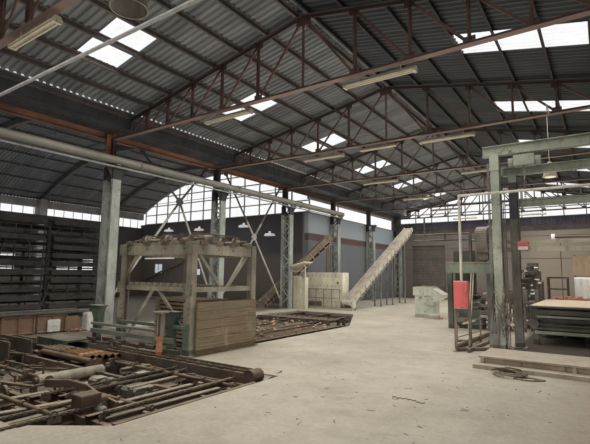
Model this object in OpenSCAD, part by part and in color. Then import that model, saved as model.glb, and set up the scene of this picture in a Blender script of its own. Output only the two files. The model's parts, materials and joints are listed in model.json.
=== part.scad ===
// Two-nave factory hall: a gabled steel-trussed main nave beside a barrel-vaulted nave.
// X runs across the naves, Y along them, Z up. The middle column row stands on X = 0.
// Heights named "level" are measured from the hall floor.

/* [Plan] */
// Distance between two trusses
bay = 4750; // [4000:50:5400]
// Number of bays along the main nave
bays = 7; // [5:1:7]
// Width of the main nave between the column row and the right wall
main_span = 14400; // [12000:100:15600]
// Width of the vaulted nave between the left wall and the column row
vault_span = 14400; // [12000:100:15600]
// Bays that the vaulted nave covers, counted from the near end
vault_bays = 4.5; // [3.5:1:5.5]
// Distance from an end truss to the inner face of the end wall
end_gap = 250; // [250:10:400]

/* [Floor and walls] */
// Thickness of the raised concrete floor
floor_t = 450; // [400:10:800]
// Thickness of the brick walls
wall_t = 300; // [200:10:400]
// Width of a wall pier along the wall
pier_w = 420; // [300:10:480]
// Distance that a wall pier stands out from its wall
pier_d = 345; // [320:5:450]
// Level of the sill of the high windows of the side walls
strip_sill = 4750; // [4300:50:4900]
// Level of the head of the high windows of the side walls
strip_head = 5350; // [5200:50:5500]
// Level of the sill of the low windows of the side walls
low_sill = 1750; // [1200:50:2000]
// Height of the low windows of the side walls
low_window_h = 850; // [600:50:1500]
// Width of the low windows of the side walls
low_window_w = 2600; // [1200:50:3200]
// Level where the end walls' brick stops and their glazing begins
end_sill = 5450; // [5100:50:5600]
// Level where the vaulted nave's far wall stops and its glazing begins
vault_sill = 5000; // [4700:50:5400]
// Thickness of the glass
glass_t = 12; // [6:1:20]

/* [Doorways] */
// Width of a doorway with a roller shutter
door_w = 2400; // [2000:50:3200]
// Height of a doorway with a roller shutter
door_h = 3800; // [3000:50:4200]
// Distance from the column row to the near edge of a doorway
door_x = 1000; // [800:50:2000]
// Height of one shutter slat
slat_h = 190; // [95:5:250]

/* [Main roof] */
// Level of the underside of the trusses
chord_level = 5800; // [5600:50:6200]
// Rise of the main roof for each unit of run
pitch = 0.2; // [0.16:0.01:0.26]
// Depth of a truss over the column row, chord to chord
heel_h = 360; // [330:10:500]
// Depth of a chord's angles
chord_d = 80; // [60:5:110]
// Width over the two angles of a chord
chord_w = 160; // [120:5:200]
// Depth of the angles of the posts and diagonals
web_d = 56; // [40:2:80]
// Width over the two angles of a post or diagonal
web_w = 116; // [90:2:140]
// Thickness of the steel in the angles
steel_t = 8; // [6:1:12]
// Thickness of the standing legs, with the gusset between them
stem_t = 26; // [20:2:36]
// Width of the panel beside the ridge
first_panel = 1310; // [1100:10:1400]
// Share of a panel's width that the next panel towards the wall has
panel_shrink = 0.92; // [0.88:0.01:0.98]
// Number of panels on each side of the ridge before the end panel
panels = 5; // [4:1:5]
// Depth of the purlins
purlin_d = 120; // [90:5:160]
// Distance between purlins along the slope
purlin_pitch = 900; // [800:10:930]
// Purlins on each slope
purlins = 8; // [7:1:8]
// Distance from the ridge to the first purlin along the slope
purlin_first = 150; // [120:10:250]

/* [Sheets] */
// Waves of the corrugated sheets in one bay
waves_per_bay = 27; // [21:2:33]
// Height of a wave
wave_h = 48; // [35:1:60]
// Thickness of a sheet
sheet_t = 8; // [6:1:12]
// Waves by which the sheets run past each end truss
wave_overrun = 4; // [4:1:5]
// Waves in the width of a skylight
skylight_waves = 6; // [4:2:8]
// Purlin spaces above the skylights of the left slope
left_sky_start = 3; // [1:1:4]
// Purlin spaces above the skylights of the right slope
right_sky_start = 3; // [1:1:3]

/* [Vaulted roof] */
// Level of the underside of the vault where it meets the column row
spring_level = 5950; // [5950:10:6050]
// Rise of the vault from springing to crown
vault_rise = 1950; // [1700:50:2600]
// Depth of the vault's purlins
vault_purlin_d = 80; // [60:5:110]
// Number of purlins round the vault
vault_purlins = 13; // [9:2:17]
// Depth of an arched rib
rib_d = 220; // [160:10:300]
// Width of an arched rib
rib_w = 140; // [90:10:200]
// Diameter of the tie rods
tie_d = 32; // [20:2:50]

/* [Columns] */
// Distance over the two uprights of a column
col_depth = 530; // [480:10:620]
// Width of a column's channel
col_w = 280; // [220:10:340]
// Depth of a channel's flanges
col_flange = 85; // [60:5:110]
// Thickness of a channel
col_t = 12; // [8:1:16]
// Rise of one lacing bar
lace_rise = 400; // [300:10:520]
// Width of a lacing bar
lace_w = 56; // [40:2:80]
// Level of the ledge where the column narrows
ledge_level = 4920; // [4600:20:4950]
// Depth of the upper shaft
shaft_d = 245; // [200:5:280]

/* [Valley] */
// Depth of the beam along the column row
beam_d = 200; // [160:10:240]
// Width of the beam along the column row
beam_w = 150; // [110:10:160]
// Distance that the gutter reaches over the main nave
gutter_reach = 810; // [760:10:900]

/* [Services] */
// Diameter of the overhead duct
duct_d = 260; // [200:10:320]
// Distance from the column row to the middle of the duct
duct_x = 270; // [260:5:300]
// Length of a fluorescent fitting
lamp_l = 1570; // [1200:10:1800]

// Distance over the lamps' middles, left row, from the ridge
lamp_left = 2300; // [1800:50:2800]
// Distance over the lamps' middles, right row, from the ridge
lamp_right = 1850; // [1500:50:2800]

/* [Plant] */
// Depth of the machine pits
pit_depth = 350; // [200:10:400]
// Distance from the column row to the right edge of the near pit
pit_right = 8180; // [7800:20:8600]
// Distance from the column row to the right edge of the far pit
trench_right = 5750; // [5400:20:6200]
// Height of the setting machine's frame
machine_h = 2240; // [2000:20:2600]
// Height of the gantry's front posts
gantry_h = 4460; // [4000:20:4900]

/* [Hidden] */

$fn = 32;
seat = 0.3;
bore = 1;

rust = "#7a5048";
sheet_grey = "#4a4b4a";
column_green = "#8a9388";
brick = "#8b7a6a";
concrete = "#a8a196";

length_main = bays * bay;
y_first = -length_main / 2;
y_inner = length_main / 2 + end_gap;
y_outer = y_inner + wall_t;
wave = bay / waves_per_bay;
sheet_half = length_main / 2 + wave_overrun * wave;
y_vault = y_first + vault_bays * bay;
x_left = -vault_span;
x_right = main_span;
ridge_x = main_span / 2;
floor_z = floor_t;
chord_z = floor_z + chord_level;
slope_a = atan(pitch);
heel_top = chord_z + heel_h;
slope_len = ridge_x / cos(slope_a);
end_post_x = gutter_reach + web_d / 2;
sky_w = skylight_waves * wave;

// Height of the top of the truss at a distance from the column row.
function chord_top(x) = heel_top + pitch * (x < ridge_x ? x : main_span - x);
// Height of the underside of the sheets' troughs at the same place.
function sheet_z(x) = chord_top(x) + purlin_d / cos(slope_a);

vault_r = (pow(vault_span / 2, 2) + pow(vault_rise, 2)) / (2 * vault_rise);
vault_x = x_left / 2;
vault_zc = floor_z + spring_level + vault_rise - vault_r;
// Height of a circle round the vault's axis at a distance from its crown line.
function arc_z(r, d) = vault_zc + sqrt(r * r - d * d);

beam_top = chord_z + beam_d;
gutter_t = 8;
gutter_left = -250;
shaft_x = -col_depth / 2;
beam_x = shaft_x + 15;
rib_r = vault_r - vault_purlin_d;

// Outline of a run of corrugated sheet, as [distance along, height] points.
WAVE_POINTS = [[0, 0], [0.3, 0], [0.5, 1], [0.8, 1]];
function wave_line(n, lift) = concat(
    [for (k = [0 : n - 1]) for (q = WAVE_POINTS) [(k + q.x) * wave, q.y * wave_h + lift]],
    [[n * wave, lift]]);
function backwards(list) = [for (i = [len(list) - 1 : -1 : 0]) list[i]];
module sheet_profile(n) {
    polygon(concat(wave_line(n, 0), backwards(wave_line(n, sheet_t))));
}

// Local frame of a slope: X runs up the slope from the column row, Z stands off the chord.
module on_left_slope() {
    translate([0, 0, heel_top]) rotate([0, -slope_a, 0]) children();
}
module on_right_slope() {
    translate([main_span, 0, 0]) mirror([1, 0, 0]) on_left_slope() children();
}
// Extrudes a [along Y, up] outline along X.
module along_x(x0, x1) {
    translate([x0, 0, 0]) rotate([90, 0, 90]) linear_extrude(x1 - x0) children();
}
// Extrudes an [X, Z] outline along Y.
module along_y(y0, y1) {
    translate([0, y1, 0]) rotate([90, 0, 0]) linear_extrude(y1 - y0) children();
}
// Turns a [radius, along Y] outline round the vault's axis, between two angles from the crown.
module round_vault(a0, a1) {
    translate([vault_x, 0, vault_zc]) rotate([90, 0, 0]) rotate([0, 0, 90 - a1])
        rotate_extrude(angle = a1 - a0, $fn = 128) children();
}
module bar(a, b, w) {
    v = b - a;
    translate(a) rotate(atan2(v.y, v.x)) translate([0, -w / 2]) square([norm(v), w]);
}

function truss_y(i) = y_first + i * bay;

// The floor is cast in bays with joints between them, round two pits. Plan places are measured
// across from the column row and along from the inner face of the near end wall.
pit_left = 1000;
pit_d = [2500, 7680];
step_x = pit_right - 740;
step_d = [4180, 4720];
trench_d = [9980, 18750];
narrow_x = trench_right - 1900;
narrow_d = 14750;
module cast_bay(points, h = floor_t) {
    on_floor(0, 0, -floor_t) linear_extrude(h) polygon(points);
}
module square_bay(low, high) {
    cast_bay([low, [high.x, low.y], high, [low.x, high.y]]);
}
module pit_floors() {
    base = floor_t - pit_depth;
    cast_bay([[pit_left, pit_d[0]], [step_x, pit_d[0]], [step_x, step_d[0]], [pit_right, step_d[1]],
        [pit_right, pit_d[1]], [pit_left, pit_d[1]]], base);
    cast_bay([[pit_left, trench_d[0]], [trench_right, trench_d[0]], [trench_right, narrow_d],
        [narrow_x, trench_d[1]], [pit_left, trench_d[1]]], base);
}
module floor_slab() {
    left = x_left - wall_t;
    right = x_right + wall_t;
    far = 2 * y_inner + wall_t;
    vault_far = y_vault + y_inner + wall_t;
    color(concrete) {
        pit_floors();
        square_bay([left, -wall_t], [pit_left - seat, vault_far]);
        square_bay([side_x, vault_far + seat], [pit_left - seat, far]);
        square_bay([pit_left, -wall_t], [right, pit_d[0] - seat]);
        // Beside the near pit and its slanted step
        square_bay([step_x + seat, pit_d[0]], [right, step_d[0] - seat]);
        cast_bay([[step_x + seat, step_d[0]], [right, step_d[0]], [right, step_d[1]],
            [pit_right + seat, step_d[1]]]);
        square_bay([pit_right + seat, step_d[1] + seat], [right, pit_d[1]]);
        square_bay([pit_left, pit_d[1] + seat], [right, trench_d[0] - seat]);
        // Beside the far pit and its narrow end
        square_bay([trench_right + seat, trench_d[0]], [right, narrow_d - seat]);
        cast_bay([[trench_right + seat, narrow_d], [right, narrow_d], [right, trench_d[1]],
            [narrow_x + seat, trench_d[1]]]);
        square_bay([pit_left, trench_d[1] + seat], [right, far]);
    }
}

module channel(w, depth, t) {
    difference() {
        translate([0, -w / 2]) square([depth, w]);
        translate([t, -w / 2 + t]) square([depth, w - 2 * t]);
    }
}
module lacing(z0, z1) {
    n = floor((z1 - z0) / lace_rise);
    rise = (z1 - z0) / n;
    half = col_depth / 2 - col_flange / 2;
    for (k = [0 : n - 1])
        bar([(k % 2 ? half : -half), z0 + k * rise],
            [(k % 2 ? -half : half), z0 + (k + 1) * rise], lace_w);
}
plate_t = 20;
bracket_h = 520;
bracket_reach = 380;
bracket_rim = 20;
module column(i) {
    foot = floor_z + plate_t;
    ledge = floor_z + ledge_level;
    lace_t = 10;
    color(column_green) translate([0, truss_y(i), 0]) {
        translate([-col_depth / 2 - 60, -col_w / 2 - 60, floor_z])
            cube([col_depth + 120, col_w + 120, plate_t]);
        for (side = [-1, 1])
            translate([side * col_depth / 2, 0, foot])
                linear_extrude(ledge - plate_t - foot)
                    mirror([side > 0 ? 1 : 0, 0]) channel(col_w, col_flange, col_t);
        for (y = [-col_w / 2 - lace_t, col_w / 2])
            along_y(y, y + lace_t) lacing(foot + 120, ledge - plate_t - 120);
        translate([-col_depth / 2, -col_w / 2 - 20, ledge - plate_t])
            cube([col_depth + 160, col_w + 40, plate_t]);
        // Arched brackets along the row, under the ledge
        for (side = [i > 0 ? -1 : 1, i < bays ? 1 : -1])
            translate([col_depth / 2 - 70, 0, 0]) mirror([0, side < 0 ? 1 : 0, 0])
                translate([0, col_w / 2 + lace_t, ledge]) along_x(0, 30)
                    difference() {
                        translate([0, -bracket_h]) square([bracket_reach, bracket_h]);
                        translate([bracket_reach, -bracket_h])
                            scale([(bracket_reach - bracket_rim) / (bracket_h - bracket_rim), 1])
                                circle(r = bracket_h - bracket_rim, $fn = 48);
                    }
        // Upper shaft and its cap
        translate([shaft_x, -90, ledge]) cube([shaft_d, 180, chord_z - plate_t - ledge]);
        cap_left = i <= vault_bays ? 120 : 20;
        translate([shaft_x - cap_left, -110, chord_z - plate_t])
            cube([shaft_d + cap_left + 70, 220, plate_t]);
    }
}

// Panel points, counted from the ridge towards a wall.
function panel_at(k) = k == 0 ? 0 : panel_at(k - 1) + first_panel * pow(panel_shrink, k - 1);
truss_end = 60;
chord_mid = chord_z + chord_d / 2;
function low_point(k) = [ridge_x - panel_at(k), chord_mid];
function high_point(k) = [ridge_x - panel_at(k), chord_top(ridge_x - panel_at(k)) - chord_d / 2];
end_low = [end_post_x, chord_mid];
end_high = [end_post_x, chord_top(end_post_x) - chord_d / 2];

module half_outline() {
    // Posts and diagonals, which fall towards the wall
    for (k = [0 : panels]) bar(low_point(k), high_point(k), web_d);
    for (k = [0 : panels - 1]) bar(high_point(k), low_point(k + 1), web_d);
    bar(high_point(panels), end_low, web_d);
    bar(end_low, end_high, web_d);
    // Gusset plates
    for (k = [1 : panels]) {
        translate(low_point(k) + [-110, -40]) square([220, 170]);
        translate(high_point(k) + [-100, -150]) square([200, 150]);
    }
    translate([-truss_end, chord_z]) square([end_post_x + truss_end + 90, chord_d + 20]);
}
module chord_outline(depth, drop) {
    translate([-truss_end, chord_z + drop]) square([ridge_x + truss_end + 1, depth]);
}
module top_outline(depth, drop) {
    x0 = end_post_x - web_d / 2;
    polygon([[x0, chord_top(x0) - drop], [ridge_x + 1, heel_top + pitch * (ridge_x + 1) - drop],
        [ridge_x + 1, heel_top + pitch * (ridge_x + 1) - drop - depth],
        [x0, chord_top(x0) - drop - depth]]);
}
module flange_lines() {
    for (k = [1 : panels])
        translate([low_point(k).x - web_d / 2, chord_z + chord_d + 2])
            square([steel_t, high_point(k).y - chord_z - chord_d * 1.5 - 6]);
}
module both_halves() {
    intersection() {
        union() {
            children();
            translate([main_span, 0]) mirror([1, 0]) children();
        }
        translate([-truss_end, chord_z])
            square([main_span + truss_end - seat, heel_h + pitch * ridge_x]);
    }
}
module truss_layer(w) {
    along_y(-w / 2, w / 2) children();
}
module truss(i) {
    color(rust) translate([0, truss_y(i), 0]) {
        truss_layer(stem_t) both_halves() {
            half_outline();
            chord_outline(chord_d, 0);
            top_outline(chord_d, 0);
            translate([ridge_x - 190, chord_top(ridge_x) - 260]) square([190 + 1, 260 - 38]);
        }
        truss_layer(chord_w) both_halves() {
            chord_outline(steel_t, 0);
            top_outline(steel_t, 0);
        }
        truss_layer(web_w) both_halves() flange_lines();
    }
}

function purlin_s(k) = slope_len - purlin_first - k * purlin_pitch;
module purlin_outline() {
    flange = 55;
    t = 6;
    translate([-t / 2, 0]) square([t, purlin_d]);
    translate([-flange, 0]) square([flange, t]);
    translate([0, purlin_d - t]) square([flange, t]);
}
module purlin_set() {
    half = length_main / 2 + chord_w / 2 + 20;
    for (k = [0 : purlins - 1])
        translate([purlin_s(k), 0, 0]) along_y(-half, half) purlin_outline();
}
module purlins() {
    color(rust) {
        on_left_slope() purlin_set();
        on_right_slope() purlin_set();
    }
}

waves_total = bays * waves_per_bay + 2 * wave_overrun;
sheet_foot = purlin_s(purlins - 1) - 190;
sheet_head = slope_len - 60;
module slope_sheet(sky_start, sky_rows) {
    difference() {
        translate([0, -sheet_half, purlin_d]) along_x(sheet_foot, sheet_head)
            sheet_profile(waves_total);
        for (b = [0 : bays - 1])
            translate([purlin_s(sky_start + sky_rows), sky_y(b), purlin_d - bore])
                cube([sky_rows * purlin_pitch, sky_w, wave_h + sheet_t + 2 * bore]);
    }
}
function sky_y(b) = truss_y(b) + floor((waves_per_bay - skylight_waves + 1) / 2) * wave;
// One skylight sheet over some purlin spaces, clear of the sheets round it.
module skylight_sheet(b, start, rows) {
    s0 = purlin_s(start + rows);
    translate([0, sky_y(b), purlin_d]) intersection() {
        along_x(s0 + 2, s0 + rows * purlin_pitch - 2) sheet_profile(skylight_waves);
        translate([s0, 2, -bore]) cube([rows * purlin_pitch, sky_w - 4, wave_h + sheet_t + 2 * bore]);
    }
}
left_sky_rows = 2;
right_sky_rows = 3;
module roof_left() { color(sheet_grey) on_left_slope() slope_sheet(left_sky_start, left_sky_rows); }
module roof_right() {
    color(sheet_grey) on_right_slope() slope_sheet(right_sky_start, right_sky_rows);
}
module skylights() {
    color("#e8eef2", 0.7) for (b = [0 : bays - 1]) {
        on_left_slope() skylight_sheet(b, left_sky_start, left_sky_rows);
        on_right_slope() {
            skylight_sheet(b, right_sky_start + 1, right_sky_rows - 1);
            skylight_sheet(b, right_sky_start, 1);
        }
    }
}
module ridge_cap() {
    wing = 260;
    lift = purlin_d + wave_h + sheet_t + seat;
    color(sheet_grey) along_y(-sheet_half, sheet_half) {
        z = chord_top(ridge_x) + lift / cos(slope_a);
        polygon([[ridge_x - wing, z - wing * pitch], [ridge_x, z], [ridge_x + wing, z - wing * pitch],
            [ridge_x + wing, z - wing * pitch + sheet_t], [ridge_x, z + sheet_t],
            [ridge_x - wing, z - wing * pitch + sheet_t]]);
    }
}

// The valley gutter rests on the beam and reaches under both roofs.
module valley_gutter() {
    lip_left = arc_z(vault_r, gutter_left - vault_x) - 2;
    lip_right = sheet_z(gutter_reach - gutter_t) - 2;
    color("#5f6462") along_y(-sheet_half, sheet_half) {
        translate([gutter_left, beam_top]) square([gutter_reach - gutter_left, gutter_t]);
        translate([gutter_left, beam_top]) square([gutter_t, lip_left - beam_top]);
        translate([gutter_reach - gutter_t, beam_top]) square([gutter_t, lip_right - beam_top]);
    }
}
module valley_beam() {
    half = length_main / 2 + 110;
    flange = 12;
    color("#a05c40") along_y(-half, half) translate([beam_x, chord_z]) {
        square([beam_w, flange]);
        translate([0, beam_d - flange]) square([beam_w, flange]);
        translate([beam_w / 2 - 5, 0]) square([10, beam_d]);
    }
}
module right_gutter() {
    lip = sheet_z(gutter_reach - gutter_t) - 2;
    z0 = beam_top;
    x0 = main_span - gutter_reach;
    color("#5f6462") along_y(-y_inner + 10, y_inner - 10) {
        translate([x0, z0]) square([gutter_reach, gutter_t]);
        translate([x0, z0]) square([gutter_t, lip - z0]);
    }
}

// Side walls: brick up to the high windows, piers between them and a ring beam over them.
module side_brick(x, y0, y1, centres) {
    translate([x, y0, floor_z]) difference() {
        cube([wall_t, y1 - y0, strip_sill]);
        for (y = centres) translate([-bore, y - y0 - low_window_w / 2, low_sill])
            cube([wall_t + 2 * bore, low_window_w, low_window_h]);
    }
}
left_centres = [for (b = [0 : floor(vault_bays) - 1]) truss_y(b) + bay / 2];
right_centres = [for (b = [0 : bays - 1]) truss_y(b) + bay / 2];
module left_wall() {
    color(brick) side_brick(x_left - wall_t, -y_inner, y_vault, left_centres);
}
module right_wall() {
    color(brick) side_brick(x_right, -y_inner, y_inner, right_centres);
}
// A pier stands inside the wall up to its seat, and in line with it between the windows.
module pier(i, x_in, side, top) {
    y0 = truss_y(i) - pier_w / 2;
    y1 = truss_y(i) + pier_w / 2;
    w0 = i == 0 ? -y_inner : y0;
    w1 = i == bays ? y_inner : y1;
    translate([min(x_in, x_in + side * pier_d), y0, floor_z]) cube([pier_d, y1 - y0, top]);
    translate([min(x_in, x_in - side * wall_t), w0, floor_z + strip_sill])
        cube([wall_t, w1 - w0, strip_head - strip_sill]);
}
module wall_piers() {
    color(concrete) {
        for (i = [0 : floor(vault_bays)]) pier(i, x_left, 1, chord_level);
        for (i = [0 : bays]) pier(i, x_right, -1, chord_level);
    }
}
wall_plate = floor_z + spring_level - 165;
module ring_beams() {
    color(concrete) {
        translate([x_left - wall_t, -y_inner, floor_z + strip_head])
            cube([wall_t, y_vault + y_inner, wall_plate - floor_z - strip_head]);
        translate([x_right, -y_inner, floor_z + strip_head])
            cube([wall_t, 2 * y_inner, sheet_z(0) - floor_z - strip_head]);
        translate([side_x, y_vault + wall_t, floor_z + side_head])
            cube([wall_t + 15, y_inner - y_vault - wall_t, beam_top + 80 - floor_z - side_head]);
    }
}
// Glass of the high strips and low windows, set in the middle of a side wall.
module side_glazing(x, y0, y1, first, last, centres) {
    gx = x + wall_t / 2 - glass_t / 2;
    stops = concat([y0], [for (i = [first : last]) each [truss_y(i) - pier_w / 2,
        truss_y(i) + pier_w / 2]], [y1]);
    for (k = [0 : 2 : len(stops) - 2])
        if (stops[k + 1] - stops[k] > 100)
            translate([gx, stops[k] + seat, floor_z + strip_sill + seat])
                cube([glass_t, stops[k + 1] - stops[k] - 2 * seat, strip_head - strip_sill - 2 * seat]);
    for (y = centres) translate([gx, y - low_window_w / 2 + seat, floor_z + low_sill + seat])
        cube([glass_t, low_window_w - 2 * seat, low_window_h - 2 * seat]);
}
module side_glass() {
    y0 = y_vault + wall_t;
    color("#cfe0e6", 0.5) {
        side_glazing(x_left - wall_t, -y_inner, y_vault, 0, floor(vault_bays), left_centres);
        side_glazing(x_right, -y_inner, y_inner, 0, bays, right_centres);
        translate([side_x + wall_t / 2, y0, floor_z + side_top])
            cube([glass_t, y_inner - y0, side_head - side_top]);
    }
}

// Beyond the vaulted nave a plain wall closes the main nave behind the column row.
side_x = shaft_x - 40 - wall_t;
side_top = 5000;
side_head = chord_level - 40;
module side_wall() {
    color(brick) translate([side_x, y_vault + wall_t, floor_z])
        cube([wall_t, y_inner - y_vault - wall_t, side_top]);
}

// End walls, drawn as [X, Z] outlines.
door_floor = floor_z;
module doorway() { translate([door_x, door_floor - bore]) square([door_w, door_h + bore]); }
glaze_x0 = 60;
vault_glaze_end = 320;
module gable_area(z0) {
    x0 = gutter_reach + 10;
    x1 = main_span - x0;
    polygon([[x0, z0], [x1, z0], [x1, sheet_z(x1) - 5],
        [ridge_x, sheet_z(ridge_x) - 5], [x0, sheet_z(x0) - 5]]);
    translate([glaze_x0, z0]) square([main_span - 2 * glaze_x0, beam_top - 20 - z0]);
}
module vault_area(z0, r) {
    intersection() {
        translate([vault_x, vault_zc]) circle(r = r, $fn = 128);
        translate([x_left + 40, z0]) square([vault_span - 40 - vault_glaze_end, vault_r]);
    }
}
// Bars round the edge of an area, and a grid of glazing bars in it.
glaze_bar = 60;
grid_x = 1200;
module grid_bars(x0, x1, z0, z1, z_step) {
    n = round((x1 - x0) / grid_x);
    for (i = [0 : n])
        translate([x0 + (x1 - x0 - glaze_bar) * i / n, z0]) square([glaze_bar, z1 - z0]);
    for (z = [z0 : z_step : z1]) translate([x0, z]) square([x1 - x0, glaze_bar]);
}
grid_z = 620;
end_z = floor_z + end_sill;
module gable_bars() {
    intersection() {
        gable_area(end_z);
        grid_bars(glaze_x0, main_span - glaze_x0, end_z, chord_z + heel_h * 2 + pitch * ridge_x,
            grid_z);
    }
    difference() {
        gable_area(end_z);
        translate([0, -glaze_bar]) gable_area(end_z - bore);
    }
}
module vault_bars(z0) {
    r = vault_r - 5;
    intersection() {
        vault_area(z0, r);
        grid_bars(x_left + 40, -vault_glaze_end, z0, vault_zc + vault_r, grid_z);
    }
    difference() {
        vault_area(z0, r);
        translate([vault_x, vault_zc]) circle(r = r - glaze_bar, $fn = 128);
    }
}
frame_t = 70;
y_frame = y_inner + (wall_t - frame_t) / 2;
// Corner pillars of an end wall, beside and between its glazed areas.
module corner_pillars(x0) {
    translate([x0, floor_z]) square([glaze_x0 - x0, beam_top - floor_z]);
    translate([main_span - glaze_x0, floor_z])
        square([glaze_x0 + wall_t, sheet_z(0) - floor_z]);
}
module far_wall() {
    color(brick) along_y(y_inner, y_outer) {
        difference() {
            translate([side_x, floor_z]) square([main_span + wall_t - side_x, end_sill]);
            doorway();
        }
        corner_pillars(side_x);
    }
}
module near_wall() {
    color(brick) along_y(-y_outer, -y_inner) {
        difference() {
            translate([x_left - wall_t, floor_z])
                square([vault_span + main_span + 2 * wall_t, end_sill]);
            doorway();
        }
        corner_pillars(-vault_glaze_end);
        translate([x_left - wall_t, floor_z]) square([wall_t + 40, wall_plate - floor_z]);
    }
}
module vault_wall() {
    color(brick) translate([x_left - wall_t, y_vault, floor_z])
        cube([side_x + wall_t - x_left + wall_t, wall_t, vault_sill]);
}
module far_frame() { color("#55585a") along_y(y_frame, y_frame + frame_t) gable_bars(); }
module near_frame() {
    color("#55585a") along_y(-y_frame - frame_t, -y_frame) {
        gable_bars();
        vault_bars(end_z);
    }
}
module vault_frame() {
    y0 = y_vault + (wall_t - frame_t) / 2;
    color("#55585a") along_y(y0, y0 + frame_t) vault_bars(floor_z + vault_sill);
}
// One sheet of glass closes each glazed area, just outside its bars.
module gable_glass() {
    y_glass = y_frame + frame_t;
    y_vault_glass = y_vault + (wall_t + frame_t) / 2;
    color("#cfe0e6", 0.5) {
        along_y(y_glass, y_glass + glass_t) gable_area(end_z);
        along_y(-y_glass - glass_t, -y_glass) {
            gable_area(end_z);
            vault_area(end_z, vault_r - 5);
        }
        along_y(y_vault_glass, y_vault_glass + glass_t)
            vault_area(floor_z + vault_sill, vault_r - 5);
    }
}

// The vault: curved corrugated sheets on purlins, carried by arched ribs with tie rods.
vault_waves = floor((y_vault + wall_t + 80 + sheet_half) / wave);
function vault_angle(d) = asin(d / vault_r);
vault_a0 = -vault_angle(vault_span / 2 + wall_t - 50);
vault_a1 = vault_angle(vault_span / 2 + gutter_left + 100);
module curved_sheet(a0, a1) {
    color(sheet_grey) round_vault(a0, a1)
        translate([vault_r, sheet_half]) rotate(-90) sheet_profile(vault_waves);
}
module vault_roof_left() { curved_sheet(vault_a0, 0); }
module vault_roof_right() { curved_sheet(0, vault_a1); }
rib_x1 = shaft_x - 5;
module rib_outline() {
    intersection() {
        difference() {
            translate([vault_x, vault_zc]) circle(r = rib_r, $fn = 128);
            translate([vault_x, vault_zc]) circle(r = rib_r - rib_d, $fn = 128);
        }
        translate([x_left + seat, chord_z]) square([rib_x1 - x_left - seat, vault_rise * 2]);
    }
}
module vault_ribs() {
    foot_l = sqrt(pow(rib_r - rib_d, 2) - pow(chord_z - vault_zc, 2));
    tie_z = chord_z + tie_d / 2 + 20;
    tie_half = sqrt(pow(rib_r - rib_d, 2) - pow(tie_z - vault_zc, 2)) + 20;
    hanger_x = [-0.5, 0, 0.5];
    color(rust) for (i = [0 : floor(vault_bays)]) translate([0, truss_y(i), 0]) {
        along_y(-rib_w / 2, rib_w / 2) rib_outline();
        translate([vault_x - tie_half, 0, tie_z]) rotate([0, 90, 0])
            cylinder(d = tie_d, h = 2 * tie_half);
        for (k = hanger_x) translate([vault_x + k * foot_l, 0, tie_z])
            cylinder(d = tie_d * 0.6, h = arc_z(rib_r - rib_d, k * foot_l) - tie_z + 10);
    }
}
module vault_purlins() {
    y0 = -y_inner + 20;
    y1 = y_vault - 20;
    a_end = vault_angle(vault_span / 2 - 330);
    color(rust) for (k = [0 : vault_purlins - 1]) {
        a = -a_end + 2 * a_end * k / (vault_purlins - 1);
        translate([vault_x, 0, vault_zc]) rotate([0, a, 0])
            translate([-30, y0, rib_r + seat])
                cube([60, y1 - y0, vault_purlin_d - 2 * seat - 0.2]);
    }
}

shutter_t = 40;
shutter_back = 180;
module shutter_outline() {
    n = round(door_h / slat_h);
    step = (door_h - 2 * seat) / n;
    polygon(concat([[0, 0]], [for (k = [0 : n - 1]) each [[shutter_t, k * step],
        [shutter_t + 14, (k + 0.5) * step], [shutter_t, (k + 0.96) * step]]],
        [[shutter_t, n * step], [0, n * step]]));
}
module shutter(y) {
    translate([door_x + seat, y, floor_z + seat]) rotate([90, 0, 90])
        linear_extrude(door_w - 2 * seat) shutter_outline();
}
module roller_shutters() {
    color("#6c665f") {
        shutter(-y_inner - shutter_back);
        mirror([0, 1, 0]) shutter(-y_inner - shutter_back);
    }
}

duct_z = floor_z + ledge_level + 50 + duct_d / 2;
duct_y0 = -y_inner + 30;
duct_y1 = truss_y(5) + 380;
module overhead_duct() {
    color("#9d9886") {
        translate([duct_x, duct_y1, duct_z]) rotate([90, 0, 0]) {
            cylinder(d = duct_d, h = duct_y1 - duct_y0);
            for (i = [0 : 4]) translate([0, 0, duct_y1 - truss_y(i) - 800])
                cylinder(d = duct_d + 60, h = 24);
        }
        for (i = [0 : 5]) translate([duct_x - 60, truss_y(i) - 60, floor_z + ledge_level])
            cube([120, 120, 50 + 40]);
    }
}

// Braces between the columns of the row: two flats cross or meet at a six-sided plate.
brace_x = beam_x + beam_w / 2;
brace_flat = 70;
module brace_set(i, hub, low_l, low_r, high_l, high_r) {
    y_l = col_w / 2 + 10 + seat;
    y_r = bay - y_l;
    t = 40;
    translate([brace_x - t / 2, truss_y(i), floor_z]) {
        along_x(0, t) {
            bar([y_l + 60, low_l], hub, brace_flat);
            bar([y_r - 60, low_r], hub, brace_flat);
            bar([high_l, chord_level - 60], hub, brace_flat);
            bar([high_r, chord_level - 60], hub, brace_flat);
            translate(hub) circle(r = 170, $fn = 6);
            for (y = [high_l, high_r]) translate([y - 100, chord_level - 120 - seat]) square([200, 120]);
        }
        for (y = [[y_l, low_l], [y_r - 70, low_r]])
            translate([-45, y.x, y.y - 260]) cube([130, 70, 520]);
    }
}
module column_braces() {
    color("#a39c8c") {
        brace_set(2, [0.61 * bay, 4240], 700, 950, 0.25 * bay, 0.88 * bay);
        brace_set(3, [0.52 * bay, 3260], 360, 360, 560, bay - 440);
    }
}

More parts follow.
